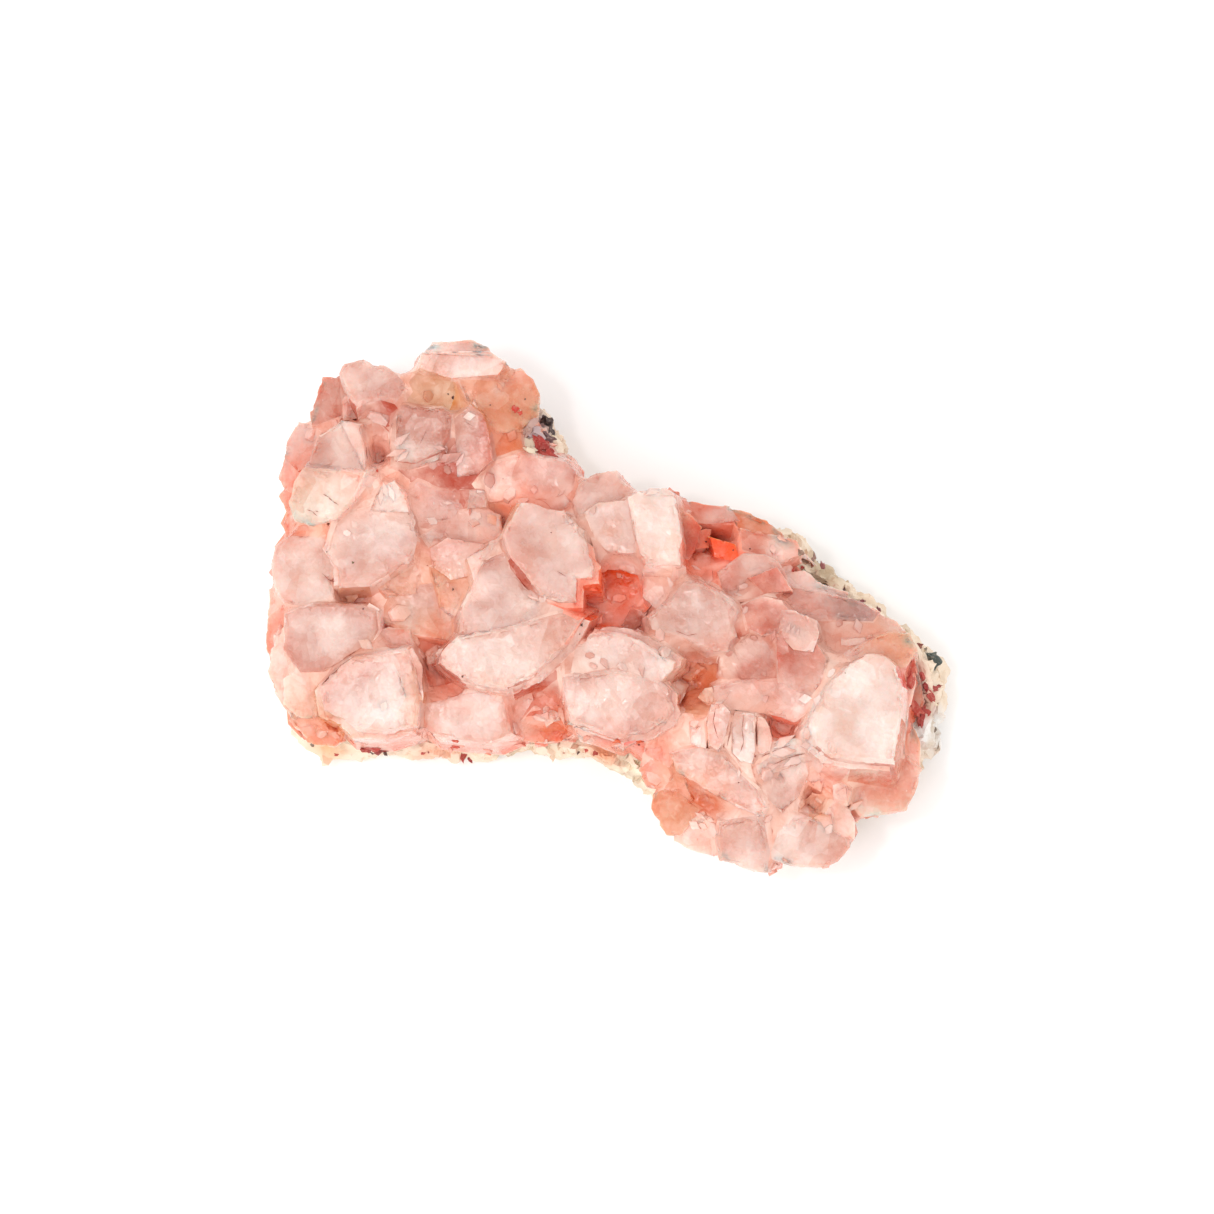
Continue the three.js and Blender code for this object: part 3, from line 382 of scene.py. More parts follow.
# forms that are modelled once and copied
def crystalForm(name, corners, width, bevelled):  # a flat crystal 2 mm long and 1 mm thick, its top at z = 0
    bpy.ops.object.select_all(action="DESELECT")
    bpy.ops.mesh.primitive_cylinder_add(vertices=corners, radius=mm, depth=mm, location=(0, 0, -0.5 * mm))
    form = bpy.context.object
    form.name = name
    bpy.ops.object.transform_apply(location=True, rotation=True, scale=True)
    bpy.ops.object.mode_set(mode="EDIT")
    bpy.ops.mesh.select_all(action="SELECT")
    bpy.ops.transform.resize(value=(1, width, 1))
    bpy.ops.mesh.select_all(action="DESELECT")
    shape = bmesh.from_edit_mesh(form.data)
    for face in shape.faces:
        face.select = face.normal.z > 0.9
    bmesh.update_edit_mesh(form.data)
    bpy.ops.mesh.bevel(offset=bevelled * mm, segments=1, affect="EDGES")
    bpy.ops.object.mode_set(mode="OBJECT")
    return form


def looseStone(name):  # a broken grain about 2 mm across
    bpy.ops.object.select_all(action="DESELECT")
    bpy.ops.mesh.primitive_ico_sphere_add(subdivisions=2, radius=mm)
    form = bpy.context.object
    form.name = name
    places = pointsOf(form)
    push(form, "breakage", (mosaic(places, 1.1, 0.1, 9) - 0.5) * 0.9 + ripple(places, 0.8) * 0.3)
    return form


coffin = crystalForm("coffin form", 6, 0.66, 0.12)
rhomb = crystalForm("rhomb form", 4, 0.72, 0.1)
lath = crystalForm("lath form", 4, 0.34, 0.08)
stone = looseStone("stone form")


def copied(form, name, place, up, turn, size, values):  # one copy of a form, standing on the surface
    upright = Vector(up).to_track_quat("Z", "Y").to_matrix().to_4x4()
    matrix = (
        Matrix.Translation(place) @ upright @ Matrix.Rotation(turn, 4, "Z") @ Matrix.Diagonal((*size, 1))
    )
    mesh = form.data.copy()
    mesh.transform(matrix)
    obj = bpy.data.objects.new(name, mesh)
    bpy.context.scene.collection.objects.link(obj)
    for label, value in values.items():
        if isinstance(value, (list, tuple)):
            keepValues(obj, label, np.tile(np.array(value), (len(mesh.vertices), 1)), "FLOAT_COLOR")
        else:
            keepValues(obj, label, np.full(len(mesh.vertices), value))
    return obj


def joined(pieces, name):
    only(pieces[0])
    for piece in pieces:
        piece.select_set(True)
    bpy.ops.object.join()
    whole = bpy.context.object
    whole.name = name
    whole.data.name = name
    return whole


# small crystals set one by one: form, x, y on the drawing, half length and thickness in mm,
# turn, lean right and lean up in degrees, and how pale each one is
settings = [
    # painted highlight: the rhomb at -17.6, 24.7, the laths at -20.4, 13.5 and -19.2, 13.1, the rhomb at
    # -28.4, -12.6, the rhomb at 21.6, 7.6 and the three laths near 24, -2.9 are made pale where glints show;
    # their paleness is partly painted highlight
    (rhomb, -17.6, 24.7, 0.9, 0.8, 20, 5, -10, 1.0),
    (lath, -26.6, 21.6, 1.7, 0.5, 87, -8, -6, 0.7),
    (lath, -27.0, 20.0, 1.5, 0.5, 85, -10, -6, 0.6),
    (lath, -26.1, 19.6, 1.2, 0.5, 88, -8, -6, 0.8),
    (lath, -21.4, 20.6, 0.9, 0.5, 82, 6, -10, 0.9),
    (lath, -20.7, 20.6, 0.8, 0.5, 86, 6, -10, 0.8),
    (lath, -19.4, 19.4, 1.6, 0.6, 86, -6, -10, 0.8),
    (lath, -18.8, 19.2, 1.2, 0.5, 84, -6, -10, 0.6),
    (lath, -20.4, 13.5, 0.8, 0.4, 10, 0, -14, 1.0),
    (lath, -19.2, 13.1, 0.7, 0.4, -30, 6, -10, 0.9),
    (lath, -16.6, 14.9, 0.9, 0.4, 4, 0, -8, 0.8),
    (lath, -17.4, 14.0, 0.8, 0.4, 88, -4, -8, 0.7),
    (lath, -27.6, 14.6, 1.3, 0.4, -58, 4, -14, 0.7),
    (lath, -28.4, 15.0, 1.2, 0.4, -68, 2, -14, 0.6),
    (lath, -29.0, 14.2, 1.2, 0.4, -78, 0, -14, 0.7),
    (rhomb, -16.8, 12.0, 1.2, 0.4, 40, -4, 6, 0.2),
    (rhomb, -14.8, 11.4, 1.1, 0.4, 10, 4, 6, 0.1),
    (rhomb, -28.4, -12.6, 0.8, 0.3, 80, 0, -14, 0.9),
    (rhomb, -7.8, -14.0, 0.9, 0.9, 90, -8, -20, 0.8),
    (coffin, 1.8, 1.2, 1.0, 1.0, 20, 0, -10, 0.2),
    (lath, 5.8, 14.6, 1.2, 0.4, 14, 2, 10, 0.8),
    (lath, 7.8, 14.6, 0.8, 0.4, 20, 2, 10, 0.8),
    (rhomb, 21.6, 7.6, 0.7, 0.5, 30, 0, -6, 0.9),
    (lath, 23.4, -2.6, 0.8, 0.3, 66, 0, -8, 0.9),
    (lath, 24.0, -2.9, 0.8, 0.3, 64, 0, -8, 0.9),
    (lath, 24.6, -3.2, 0.7, 0.3, 64, 0, -8, 0.8),
    (rhomb, 25.6, -11.7, 1.0, 0.9, 45, 4, -8, 0.3),
    (rhomb, 27.1, -12.0, 0.9, 0.9, 0, 4, -8, 0.0),
    (lath, 22.6, -17.2, 1.9, 0.4, 12, 0, -8, 0.2),
    (lath, 22.6, -18.4, 2.2, 0.4, 16, 0, -8, 0.2),
    (lath, 24.4, -19.4, 2.0, 0.4, 20, 0, -8, 0.2),
    (lath, 21.2, -20.4, 1.5, 0.4, 34, -4, -8, 0.2),
    (rhomb, 25.6, -17.6, 0.7, 0.5, 10, 0, -10, 0.7),
    (rhomb, 26.7, -18.4, 0.7, 0.5, -20, 4, -10, 0.6),
    (rhomb, 27.6, -18.6, 0.5, 0.5, 30, 4, -10, 0.5),
    (lath, 12.2, -26.8, 1.0, 0.6, 30, -8, -12, 0.5),
    (rhomb, 11.4, -28.0, 0.9, 0.6, 10, -12, -18, 0.2),
    (rhomb, 30.3, -23.8, 1.0, 0.6, 60, 8, -14, 0.3),
]
palest = 0.15  # how milky a small crystal of paleness 1 is


def smallCrystal(form, x, y, size, thickness, turn, leanX, leanY, pale):
    place, normal = landing(x, y)
    if place is None:
        return None
    up = Vector((math.tan(math.radians(leanX)), math.tan(math.radians(leanY)), 1)).normalized() + normal * 2
    lift = 0.16 * thickness * mm
    return copied(
        form, "small crystal", place + up.normalized() * lift, up,
        math.radians(turn), (size, size, thickness * 3),
        {"pale": pale * palest, "facet": (x * 7.3 + y * 3.1) % 1, "plate": (x * 3.7 + y * 5.9) % 1},
    )


smallOnes = [smallCrystal(*setting) for setting in settings]
smallOnes = [piece for piece in smallOnes if piece is not None]
print("small crystals set:", len(smallOnes))

# crystals scattered over the others
intergrown = {
    "count": 90,
    "size": (0.6, 1.6),  # mm, half length
    "tilt": 0.3,  # how far a crystal leans away from the surface's normal
    "above": (0.05, 0.3),  # mm, how far its top stands out
    "seed": 6,
}

druse = {
    "count": 150,
    "size": (0.4, 1.0),
    "tilt": 0.7,
    "from": 7.0,  # mm, lowest height
    "seed": 23,
}

flakes = {
    "count": 90,
    "size": (0.08, 0.24),
    "seed": 61,
}

# the middle, the normal, the area and the share of filled cleft of every face of the crystals
mesh = crystals.data
middles, normals = np.empty(len(mesh.polygons) * 3), np.empty(len(mesh.polygons) * 3)
areas, corners = np.empty(len(mesh.polygons)), np.empty(len(mesh.polygons) * 3, dtype=int)
mesh.polygons.foreach_get("center", middles)
mesh.polygons.foreach_get("normal", normals)
mesh.polygons.foreach_get("area", areas)
mesh.loops.foreach_get("vertex_index", corners)
middles, normals = middles.reshape(-1, 3) / mm, normals.reshape(-1, 3)
filled = squeezed[corners.reshape(-1, 3)].mean(axis=1)
height, upness = middles[:, 2], normals[:, 2]
openness = openAt(middles)


# random points on the crystals with their normals, more where the weights are high
def scattered(count, seed, weights):
    chance = areas * weights
    picks = np.random.default_rng(seed).choice(len(areas), count, p=chance / chance.sum())
    return [(Vector(middles[i]) * mm, Vector(normals[i])) for i in picks]


dice = random.Random(intergrown["seed"])
inClefts = (filled > 0.1) * (upness > 0.4) * (height > 12) * (1 - openness)
for place, normal in scattered(intergrown["count"], intergrown["seed"], inClefts):
    up = normal + Vector((dice.gauss(0, 1), dice.gauss(0, 1), dice.gauss(0, 1))) * intergrown["tilt"] * 0.6
    size = intergrown["size"][0] + (intergrown["size"][1] - intergrown["size"][0]) * dice.random() ** 2
    smallOnes.append(
        copied(
            dice.choice((coffin, coffin, rhomb, lath)), "intergrown crystal",
            place + up.normalized() * dice.uniform(*intergrown["above"]) * mm, up, dice.uniform(0, 6.3),
            (size, size * dice.uniform(0.8, 1.2), size * 1.3),
            {"pale": 0.0, "facet": dice.random(), "plate": dice.random()},
        )
    )
dice = random.Random(druse["seed"])
steepOrOpen = (upness < 0.45) * (height < 14) + 0.3 * (openness > 0.6)
sides = (height > druse["from"]) * (upness > -0.3) * steepOrOpen
for place, normal in scattered(druse["count"], druse["seed"], sides):
    up = normal + Vector((dice.gauss(0, 1), dice.gauss(0, 1), dice.gauss(0, 1) + 0.5)) * 0.4 * druse["tilt"]
    size = dice.uniform(*druse["size"]) ** 1.3
    smallOnes.append(
        copied(
            dice.choice((coffin, rhomb, rhomb, lath)), "druse crystal",
            place + up.normalized() * 0.3 * size * mm, up, dice.uniform(0, 6.3),
            (size, size, size * dice.uniform(1.0, 1.6)),
            {"pale": dice.uniform(0, 0.15), "facet": dice.random(), "plate": dice.random()},
        )
    )
dice = random.Random(flakes["seed"])
for place, normal in scattered(flakes["count"], flakes["seed"], (height > 12) * (upness > 0.5)):
    up = normal + Vector((dice.gauss(0, 1), dice.gauss(0, 1), 0)) * 0.14
    size = dice.uniform(*flakes["size"])
    smallOnes.append(
        copied(
            dice.choice((coffin, rhomb, lath)), "flake", place + normal * 0.06 * mm, up, dice.uniform(0, 6.3),
            (size, size * dice.uniform(0.5, 1), 0.3),
            {"pale": dice.uniform(0, 0.3), "facet": dice.random(), "plate": dice.random()},
        )
    )
overgrowth = joined(smallOnes, "overgrowth")
print("overgrowth:", len(overgrowth.data.polygons), "faces")

# iron stain: points along each crack on the drawing in mm, and its width in mm
cracks = [
    ([(-36.4, 14.6), (-35.7, 14.2), (-35.2, 13.7), (-34.4, 13.2)], 0.13),
    ([(-38.5, 12.6), (-37.9, 12.4), (-37.2, 11.8)], 0.13),
    ([(-37.4, 12.4), (-37.0, 12.3)], 0.1),
    ([(-32.4, -6.4), (-33.6, -7.2), (-34.6, -8.2), (-35.5, -8.9), (-36.4, -9.9)], 0.14),
    ([(-36.6, 4.4), (-35.8, 3.6), (-34.9, 3.3)], 0.1),
    ([(-31.0, 20.6), (-30.8, 19.2)], 0.1),
    ([(-18.2, 24.0), (-17.2, 23.4)], 0.08),
    ([(14.0, -13.0), (13.7, -14.6), (14.2, -16.4), (15.2, -18.0)], 0.16),
    ([(16.1, -13.6), (15.9, -15.6), (15.5, -17.6)], 0.2),
    ([(17.6, -13.8), (17.4, -15.6), (17.6, -17.2), (17.2, -18.4)], 0.14),
    ([(19.2, -14.0), (19.3, -16.4), (19.0, -19.0)], 0.2),
    ([(20.9, -14.6), (21.2, -16.2), (21.6, -17.4)], 0.16),
    ([(13.2, -12.2), (14.4, -12.6), (15.8, -13.2)], 0.12),
    ([(20.0, -19.0), (21.8, -18.2), (23.6, -17.6)], 0.12),
    ([(21.2, -20.2), (23.4, -19.2), (25.4, -18.7)], 0.12),
    ([(5.0, -0.8), (6.0, 0.4)], 0.09),
    ([(9.0, -3.0), (10.4, -3.6), (11.6, -3.4)], 0.09),
    ([(-6.2, 4.6), (-5.2, 4.0)], 0.08),
    ([(-24.0, 21.2), (-23.2, 22.8)], 0.08),
]
crackColour = "#9A5A4C"
# x, y on the drawing, width in mm, colour
specks = [
    (-19.8, 27.2, 0.45, "#4A2A22"), (-20.4, 27.6, 0.25, "#5A3A2A"), (-10.5, 27.0, 0.3, "#4A2018"),
    (-11.7, 25.8, 0.9, "#C23A2E"), (-11.2, 25.2, 0.6, "#C84838"), (-15.0, 26.2, 0.22, "#6A3A2C"),
    (-19.7, 2.3, 0.3, "#3A1C18"), (-23.0, 5.4, 0.2, "#A04A38"), (-32.6, 5.8, 0.3, "#6A5A3A"),
    (-31.2, -0.2, 0.22, "#5A2A24"), (-28.4, -2.6, 0.35, "#4A2420"), (-1.7, 2.2, 0.35, "#3A1A14"),
    (-3.1, -2.2, 0.35, "#3A1A14"), (2.0, 4.0, 0.22, "#5A2018"), (12.9, 8.5, 0.28, "#3A1410"),
    (16.4, 7.4, 0.24, "#5A2018"), (18.6, 7.6, 0.22, "#4A1A14"), (4.2, -17.6, 0.35, "#5A1E16"),
    (-18.4, -8.8, 0.3, "#5A2A22"), (-22.0, -7.6, 0.24, "#6A3028"), (7.2, 0.2, 0.18, "#6A4038"),
    (-36.0, 7.2, 0.2, "#6A4A30"), (24.2, 4.8, 0.7, "#B84A40"), (25.6, 5.2, 0.5, "#A83A34"),
    (-25.4, 12.0, 0.16, "#7A4A3A"), (-7.0, 9.6, 0.18, "#7A4A44"), (-3.4, -3.4, 0.2, "#5A2A24"),
    (30.6, -8.4, 0.15, "#8A5A4A"), (17.0, -22.4, 0.2, "#6A342A"), (-29.6, 17.6, 0.5, "#C8442E"),
]


def crackPiece(start, end, width):  # a thin sliver between two points of the surface
    a, b = landing(*start), landing(*end)
    if a[0] is None or b[0] is None or abs(a[0].z - b[0].z) > 1.5 * mm:
        return None
    along = b[0] - a[0]
    up = (a[1] + b[1]).normalized()
    side = up.cross(along).normalized()
    up = along.cross(side).normalized()
    matrix = Matrix((along.normalized(), side, up)).transposed().to_4x4()
    half = along.length / mm / 2
    mesh = lath.data.copy()
    mesh.transform(Matrix.Diagonal((half * 1.1, width, 0.3, 1)))
    mesh.transform(Matrix.Translation((a[0] + b[0]) / 2 + up * 0.09 * mm) @ matrix)
    obj = bpy.data.objects.new("crack", mesh)
    bpy.context.scene.collection.objects.link(obj)
    keepValues(obj, "tone", np.tile(linear(crackColour), (len(mesh.vertices), 1)), "FLOAT_COLOR")
    return obj


def speck(x, y, width, colour, dice):
    place, normal = landing(x, y)
    if place is None:
        return None
    size = (width * 0.6, width * dice.uniform(0.3, 0.55), width * 0.22)
    return copied(stone, "speck", place, normal, dice.uniform(0, 6.3), size, {"tone": linear(colour)})


dice = random.Random(4)
stains = [crackPiece(a, b, width) for points, width in cracks for a, b in zip(points, points[1:])]
stains += [speck(*spot, dice) for spot in specks]
stains = joined([piece for piece in stains if piece is not None], "iron_stains")
print("cracks and specks:", len(stains.data.polygons), "faces")

# broken grains of rock and clay on the rind: x, y on the drawing, width in mm, colour
crumbsSeen = [
    (-31.2, -18.4, 1.9, "#A8433C"), (-30.2, -18.2, 1.8, "#B24A42"), (-29.2, -18.6, 1.8, "#8E3430"),
    (-28.8, -18.9, 0.8, "#5A3A36"), (-30.6, -18.9, 0.9, "#5A403A"),
    (-35.3, -19.2, 0.6, "#B85A50"), (-24.0, -19.0, 0.7, "#B04A44"), (-23.2, -18.9, 0.5, "#8A3A38"),
    (-19.3, -18.0, 1.1, "#BE4A3C"), (-18.7, -19.4, 1.2, "#A8403A"), (-17.8, -19.8, 1.1, "#9A3A3A"),
    (-17.4, -20.1, 0.7, "#3C2A2C"), (-19.4, -17.2, 0.8, "#C85A48"), (-2.6, -18.6, 0.8, "#C0524A"),
    (-1.4, -19.0, 0.8, "#A8483E"), (-3.6, -18.9, 0.5, "#4A3434"), (-5.4, -18.9, 0.5, "#B86A58"),
    (1.6, -17.2, 1.0, "#D0603E"), (4.4, -17.2, 0.9, "#C8502E"), (42.4, -6.2, 1.8, "#565E58"),
    (42.8, -7.2, 1.9, "#4C5450"), (41.6, -5.6, 0.9, "#8A7A6C"),
    (40.6, -5.0, 0.8, "#8A4A40"), (41.5, -10.6, 1.7, "#9A3A38"), (42.4, -10.4, 1.6, "#A84440"),
    (43.2, -10.2, 0.8, "#8E3634"), (42.0, -11.4, 1.5, "#B04C44"), (40.8, -9.2, 1.6, "#B85048"),
    (39.2, -8.0, 2.0, "#C05A48"), (38.8, -9.6, 2.0, "#B84C40"), (41.0, -13.4, 2.0, "#B04A42"),
    (40.0, -13.0, 2.0, "#BC5448"), (40.8, -14.4, 1.7, "#A84640"), (39.4, -12.0, 1.8, "#C46656"),
    (27.2, 6.6, 1.3, "#9A746A"), (28.4, 5.2, 1.3, "#A8686A"), (26.8, 5.6, 1.0, "#9A5A4A"),
    (31.0, 2.4, 0.8, "#6A4A48"), (33.6, 0.8, 0.8, "#8A4A54"), (35.6, -0.4, 0.7, "#7A4048"),
    (25.2, 7.0, 0.8, "#8A6A5A"), (-7.8, 24.2, 1.7, "#453A3A"), (-7.3, 23.2, 1.8, "#4A3C3E"),
    (-7.6, 22.2, 1.7, "#6A4C4C"), (-8.2, 24.9, 1.0, "#5A4A50"), (-9.6, 23.8, 2.4, "#B8958C"),
    (-10.4, 22.8, 2.4, "#C0A095"), (-9.0, 22.6, 2.4, "#C0A8A8"), (-8.6, 21.2, 2.0, "#A83A34"),
    (-7.8, 20.7, 2.2, "#9E342E"), (-7.2, 20.0, 2.2, "#AA3C34"), (-8.2, 19.9, 1.8, "#B44A40"),
    (-10.0, 21.4, 2.0, "#D8C4AE"), (-10.2, 20.4, 2.0, "#E0CDB4"),
]
crumbs = {"count": 170, "size": (0.25, 0.8), "seed": 35}  # the scattered ones, size in mm
crumbColours = ("#EFE0C8", "#E9D8BE", "#D9C4A8", "#CDB597", "#C08A78", "#A8675A", "#8A7A6E")

grains = [speck(x, y, width, colour, dice) for x, y, width, colour in crumbsSeen]
dice = random.Random(crumbs["seed"])
faces = [p for p in rind.data.polygons if p.center.z > 1.5 * mm and p.normal.z > -0.4]
for _ in range(crumbs["count"]):
    face = dice.choice(faces)
    size = [dice.uniform(*crumbs["size"]) * dice.uniform(0.4, 0.8) for _ in range(3)]
    values = {"tone": linear(dice.choice(crumbColours))}
    grains.append(copied(stone, "crumb", face.center, face.normal, dice.uniform(0, 6.3), size, values))
grains = joined([piece for piece in grains if piece is not None], "rock_crumbs")
print("crumbs:", len(grains.data.polygons), "faces")

for form in (coffin, rhomb, lath, stone):
    bpy.data.objects.remove(form)

blush = "#F0C4B8"  # the crystals' common pink
# the stone's own colours, deeper than they look because the studio's light pales them
palette = {
    "milk": "#DCC6BE",
    "cream": "#CEB2A0",
    "pearl": "#D0AAA0",
    "rose": "#C8988C",
    "dusk": "#BA8274",
    "salmon": "#BC6C5A",
    "apricot": "#D29474",
    "amber": "#C08A66",
    "ochre": "#C47A20",
    "coral": "#CA6430",
    "orange": "#EE8040",
    "ember": "#EC5A20",
    "brick": "#B04A34",
    "crimson": "#E62C14",
    "garnet": "#9A2C10",
    "mauve": "#AA847E",
}
# name: x, y on the drawing in mm, radius in mm, colour, strength
landmarks = {
    "cap": (-17.5, 32, 3.6, "pearl", 0.9),
    "capTop": (-17, 34, 1.6, "rose", 0.7),
    "amberBlock": (-22, 28, 4, "amber", 0.8),
    "yellowStain": (-20.4, 26.4, 1.8, "ochre", 0.8),
    "orangeShoulder": (-12.5, 27, 5, "apricot", 0.9),
    "orangeHeel": (-13, 21, 4, "coral", 0.9),
    "glintBlock": (-17.6, 22.5, 3, "dusk", 0.7),
    "squareBlock": (-24, 22.5, 4.2, "dusk", 0.9),
    "crest": (-30.5, 29.5, 4.6, "rose", 0.8),
    "topLeft": (-35, 28.6, 2, "rose", 0.7),
    "cornerBlock": (-36, 27, 3.4, "dusk", 0.8),
    "crestHollow": (-32.6, 25.2, 2, "salmon", 0.9),
    "redBlock": (-28.6, 24.4, 2.6, "brick", 0.9),
    "cubeFront": (-30, 23, 2, "salmon", 0.8),
    "noseTop": (-34.6, 20, 5, "pearl", 0.9),
    "noseEnd": (-38, 13, 3.6, "cream", 0.9),
    "rimUpper": (-40, 19, 4, "mauve", 0.7),
    "orangeWedge": (-38.2, 9.8, 2.4, "orange", 0.9),
    "neckLedge": (-19, 16.4, 5.5, "brick", 0.8),
    "neckMiddle": (-14, 18.4, 2.2, "brick", 0.8),
    "neckEnd": (-7, 17, 3.6, "brick", 0.8),
    "littleCube": (-16.7, 13.7, 1.4, "pearl", 0.7),
    "broadPale": (-29, 8, 6.5, "pearl", 0.9),
    "bigPaleHeart": (-22.6, 11, 3, "pearl", 0.7),
    # painted highlight: a milk-white patch on the bright triangular facet
    "facetHighlight": (-28.6, 13.8, 2.6, "milk", 0.9),
    "leftRim": (-39.5, 5, 5, "pearl", 0.9),
    "leftHollow": (-33, 1.4, 3, "apricot", 0.7),
    "table": (-35.4, -4, 6, "dusk", 0.9),
    "tableRight": (-31, -5, 2.5, "apricot", 0.7),
    "tableTop": (-36, -4.6, 2.5, "dusk", 0.7),
    "ledge": (-27.6, -5.4, 2.2, "salmon", 0.7),
    "frontBlock": (-29, -11, 7, "pearl", 0.95),
    # painted highlight: a milk-white patch on the front block's bright spot
    "frontBlockHighlight": (-28.3, -12.7, 3.6, "milk", 0.8),
    "frontBlockTop": (-31.5, -8.2, 2.6, "salmon", 0.8),
    "frontBlockRight": (-24.2, -11, 2.2, "apricot", 0.7),
    "creamBlock": (-17.8, -13.6, 5.4, "rose", 0.95),
    "creamHeart": (-16.6, -12.4, 2.6, "milk", 0.8),
    "redNook": (-20.5, -7.6, 3.4, "brick", 0.9),
    "leftFlank": (-38.5, -13.5, 4.5, "amber", 0.9),
    "cornerOrange": (-35.2, -16, 2.6, "ochre", 0.8),
    "bodyFloor": (-22, 0.5, 6, "apricot", 0.85),
    "bodyFloorUp": (-19, 8.6, 5, "salmon", 0.7),
    "bodyOrange": (-20, 3, 3, "apricot", 0.8),
    "bodyPink": (-24, 0.8, 2.4, "rose", 0.7),
    "bodyOrangeLow": (-19.5, -2.5, 2.5, "pearl", 0.7),
    "bodyTop": (-13.6, 8, 2.4, "dusk", 0.7),
    "kite": (-11.5, -3, 8.5, "pearl", 0.95),
    "kiteLow": (-12.5, -7.2, 3.4, "milk", 0.8),
    "kiteHeart": (-9.5, -4, 3, "pearl", 0.6),
    "kiteTop": (-12.6, 3.6, 3, "dusk", 0.7),
    "fan": (-7, 8, 6.5, "rose", 0.9),
    "fanShade": (-11, 4.6, 2.6, "brick", 0.8),
    "fanRight": (1.2, 6, 2.4, "pearl", 0.7),
    "fanCorner": (-0.8, 3.6, 2.2, "apricot", 0.85),
    "underFan": (-13.6, 11.4, 2.6, "apricot", 0.9),
    "paleGroup": (1.5, 11.6, 7.5, "pearl", 0.95),
    "paleTopLeft": (-1.5, 13.6, 2.5, "dusk", 0.7),
    "paleBlock": (6.8, 11.6, 4, "milk", 0.95),
    "greyFlank": (10.6, 9.6, 1.6, "cream", 0.8),
    "deepHollow": (0.2, 0.6, 5, "ember", 0.98),
    "darkestHollow": (3.4, -2.4, 2, "garnet", 0.9),
    "steppedBlock": (1.6, -10, 8, "rose", 0.9),
    "steppedTop": (4, -6, 2.5, "pearl", 0.7),
    "steppedLow": (2, -15.4, 2.6, "salmon", 0.8),
    "smallNook": (-9.4, -12.4, 4, "brick", 0.85),
    "orangeFoot": (-6, -16, 2.8, "apricot", 0.75),
    "orangeSpot": (3, -17.4, 2, "crimson", 0.8),
    "rightPale": (11, -1, 6.4, "dusk", 0.9),
    "centreBlockA": (17, 1.6, 3, "rose", 0.7),
    "centreBlockB": (14, -3, 3, "pearl", 0.7),
    "centreBlockC": (22, -3.6, 3, "pearl", 0.7),
    "rightGroupLow": (24, -8.6, 3, "pearl", 0.7),
    "orangeHollow": (14.4, 8, 4.6, "ember", 0.98),
    "orangeHollowDark": (12, 8.4, 1.8, "garnet", 0.9),
    "backWall": (14, 12.6, 4, "salmon", 0.8),
    "backWallRight": (20, 10.6, 3.2, "coral", 0.8),
    "pinkWedge": (20, 4.4, 4, "salmon", 0.8),
    "redHollow": (11, -9.6, 3.4, "apricot", 0.95),
    "pinkMass": (20.5, -6, 7, "salmon", 0.85),
    "ridge": (29, 0, 5, "mauve", 0.7),
    "salmonFloor": (31.5, -4.6, 4.4, "dusk", 0.85),
    "shoulder": (36, -5, 3.6, "apricot", 0.85),
    "whiteBlock": (31.6, -13, 7, "milk", 1.0),
    "whiteTop": (33, -5, 2.6, "rose", 0.7),
    "whiteRight": (37.4, -9, 2, "salmon", 0.8),
    "redEnd": (39.2, -9, 1.8, "crimson", 0.9),
    "redEndLow": (40.6, -13.6, 1.6, "crimson", 0.8),
    "orangeEnd": (39, -17, 2.8, "coral", 0.85),
    "blades": (17, -16, 4.5, "pearl", 0.85),
    "bladeHollow": (22.6, -15.6, 1.8, "ember", 0.85),
    "laths": (24.6, -19, 3.6, "pearl", 0.8),
    "longPale": (14, -21.6, 5, "pearl", 0.85),
    "orangeBand": (12.6, -24, 3.2, "coral", 0.95),
    "orangeBandLeft": (8.6, -21.6, 2.2, "apricot", 0.9),
    "leftFoot": (8.4, -26.4, 3.2, "apricot", 0.85),
    "lobeBlock": (17.4, -30.4, 4, "pearl", 0.9),
    "lobeRight": (26.4, -30.4, 5, "pearl", 0.9),
    "lobeHollow": (26.4, -25.8, 2.4, "apricot", 0.9),
    "lobeSlope": (22.2, -23.6, 3.6, "rose", 0.8),
    "salmonBlock": (35, -22.6, 5, "cream", 0.9),
    "blockOrange": (35.6, -20.8, 2.6, "salmon", 0.8),
    "blockPink": (31, -20.6, 2.6, "salmon", 0.8),
}
tints = {
    name: (x, y, radius, palette[colour], strength)
    for name, (x, y, radius, colour, strength) in landmarks.items()
}

# the rind's colours, in the same way
rockTints = {
    "whiteLump": (42.4, -16, 3.2, "#EDE8E2", 1.0),
    "redUnderEnd": (40.4, -12.6, 2.4, "#C0705E", 0.8),
    "redHigh": (39.6, -8.2, 2.0, "#BE6450", 0.8),
    "greyRim": (28.6, 4.4, 3.4, "#CBB59A", 0.8),
    "notchGrey": (-9.6, 23.6, 2.6, "#B8A0A0", 0.9),
    "notchCream": (-9.6, 20.6, 2.0, "#E6D2BA", 0.8),
    "frontCream": (3.6, -20.4, 4.6, "#F8EBD4", 1.0),
    "frontOrange": (-36.4, -17.8, 2.6, "#F2BC92", 0.7),
    "frontPink": (-22, -18.8, 3.4, "#EDBBA2", 0.6),
    "frontRust": (0.4, -18.2, 2.8, "#E8A078", 0.7),
}


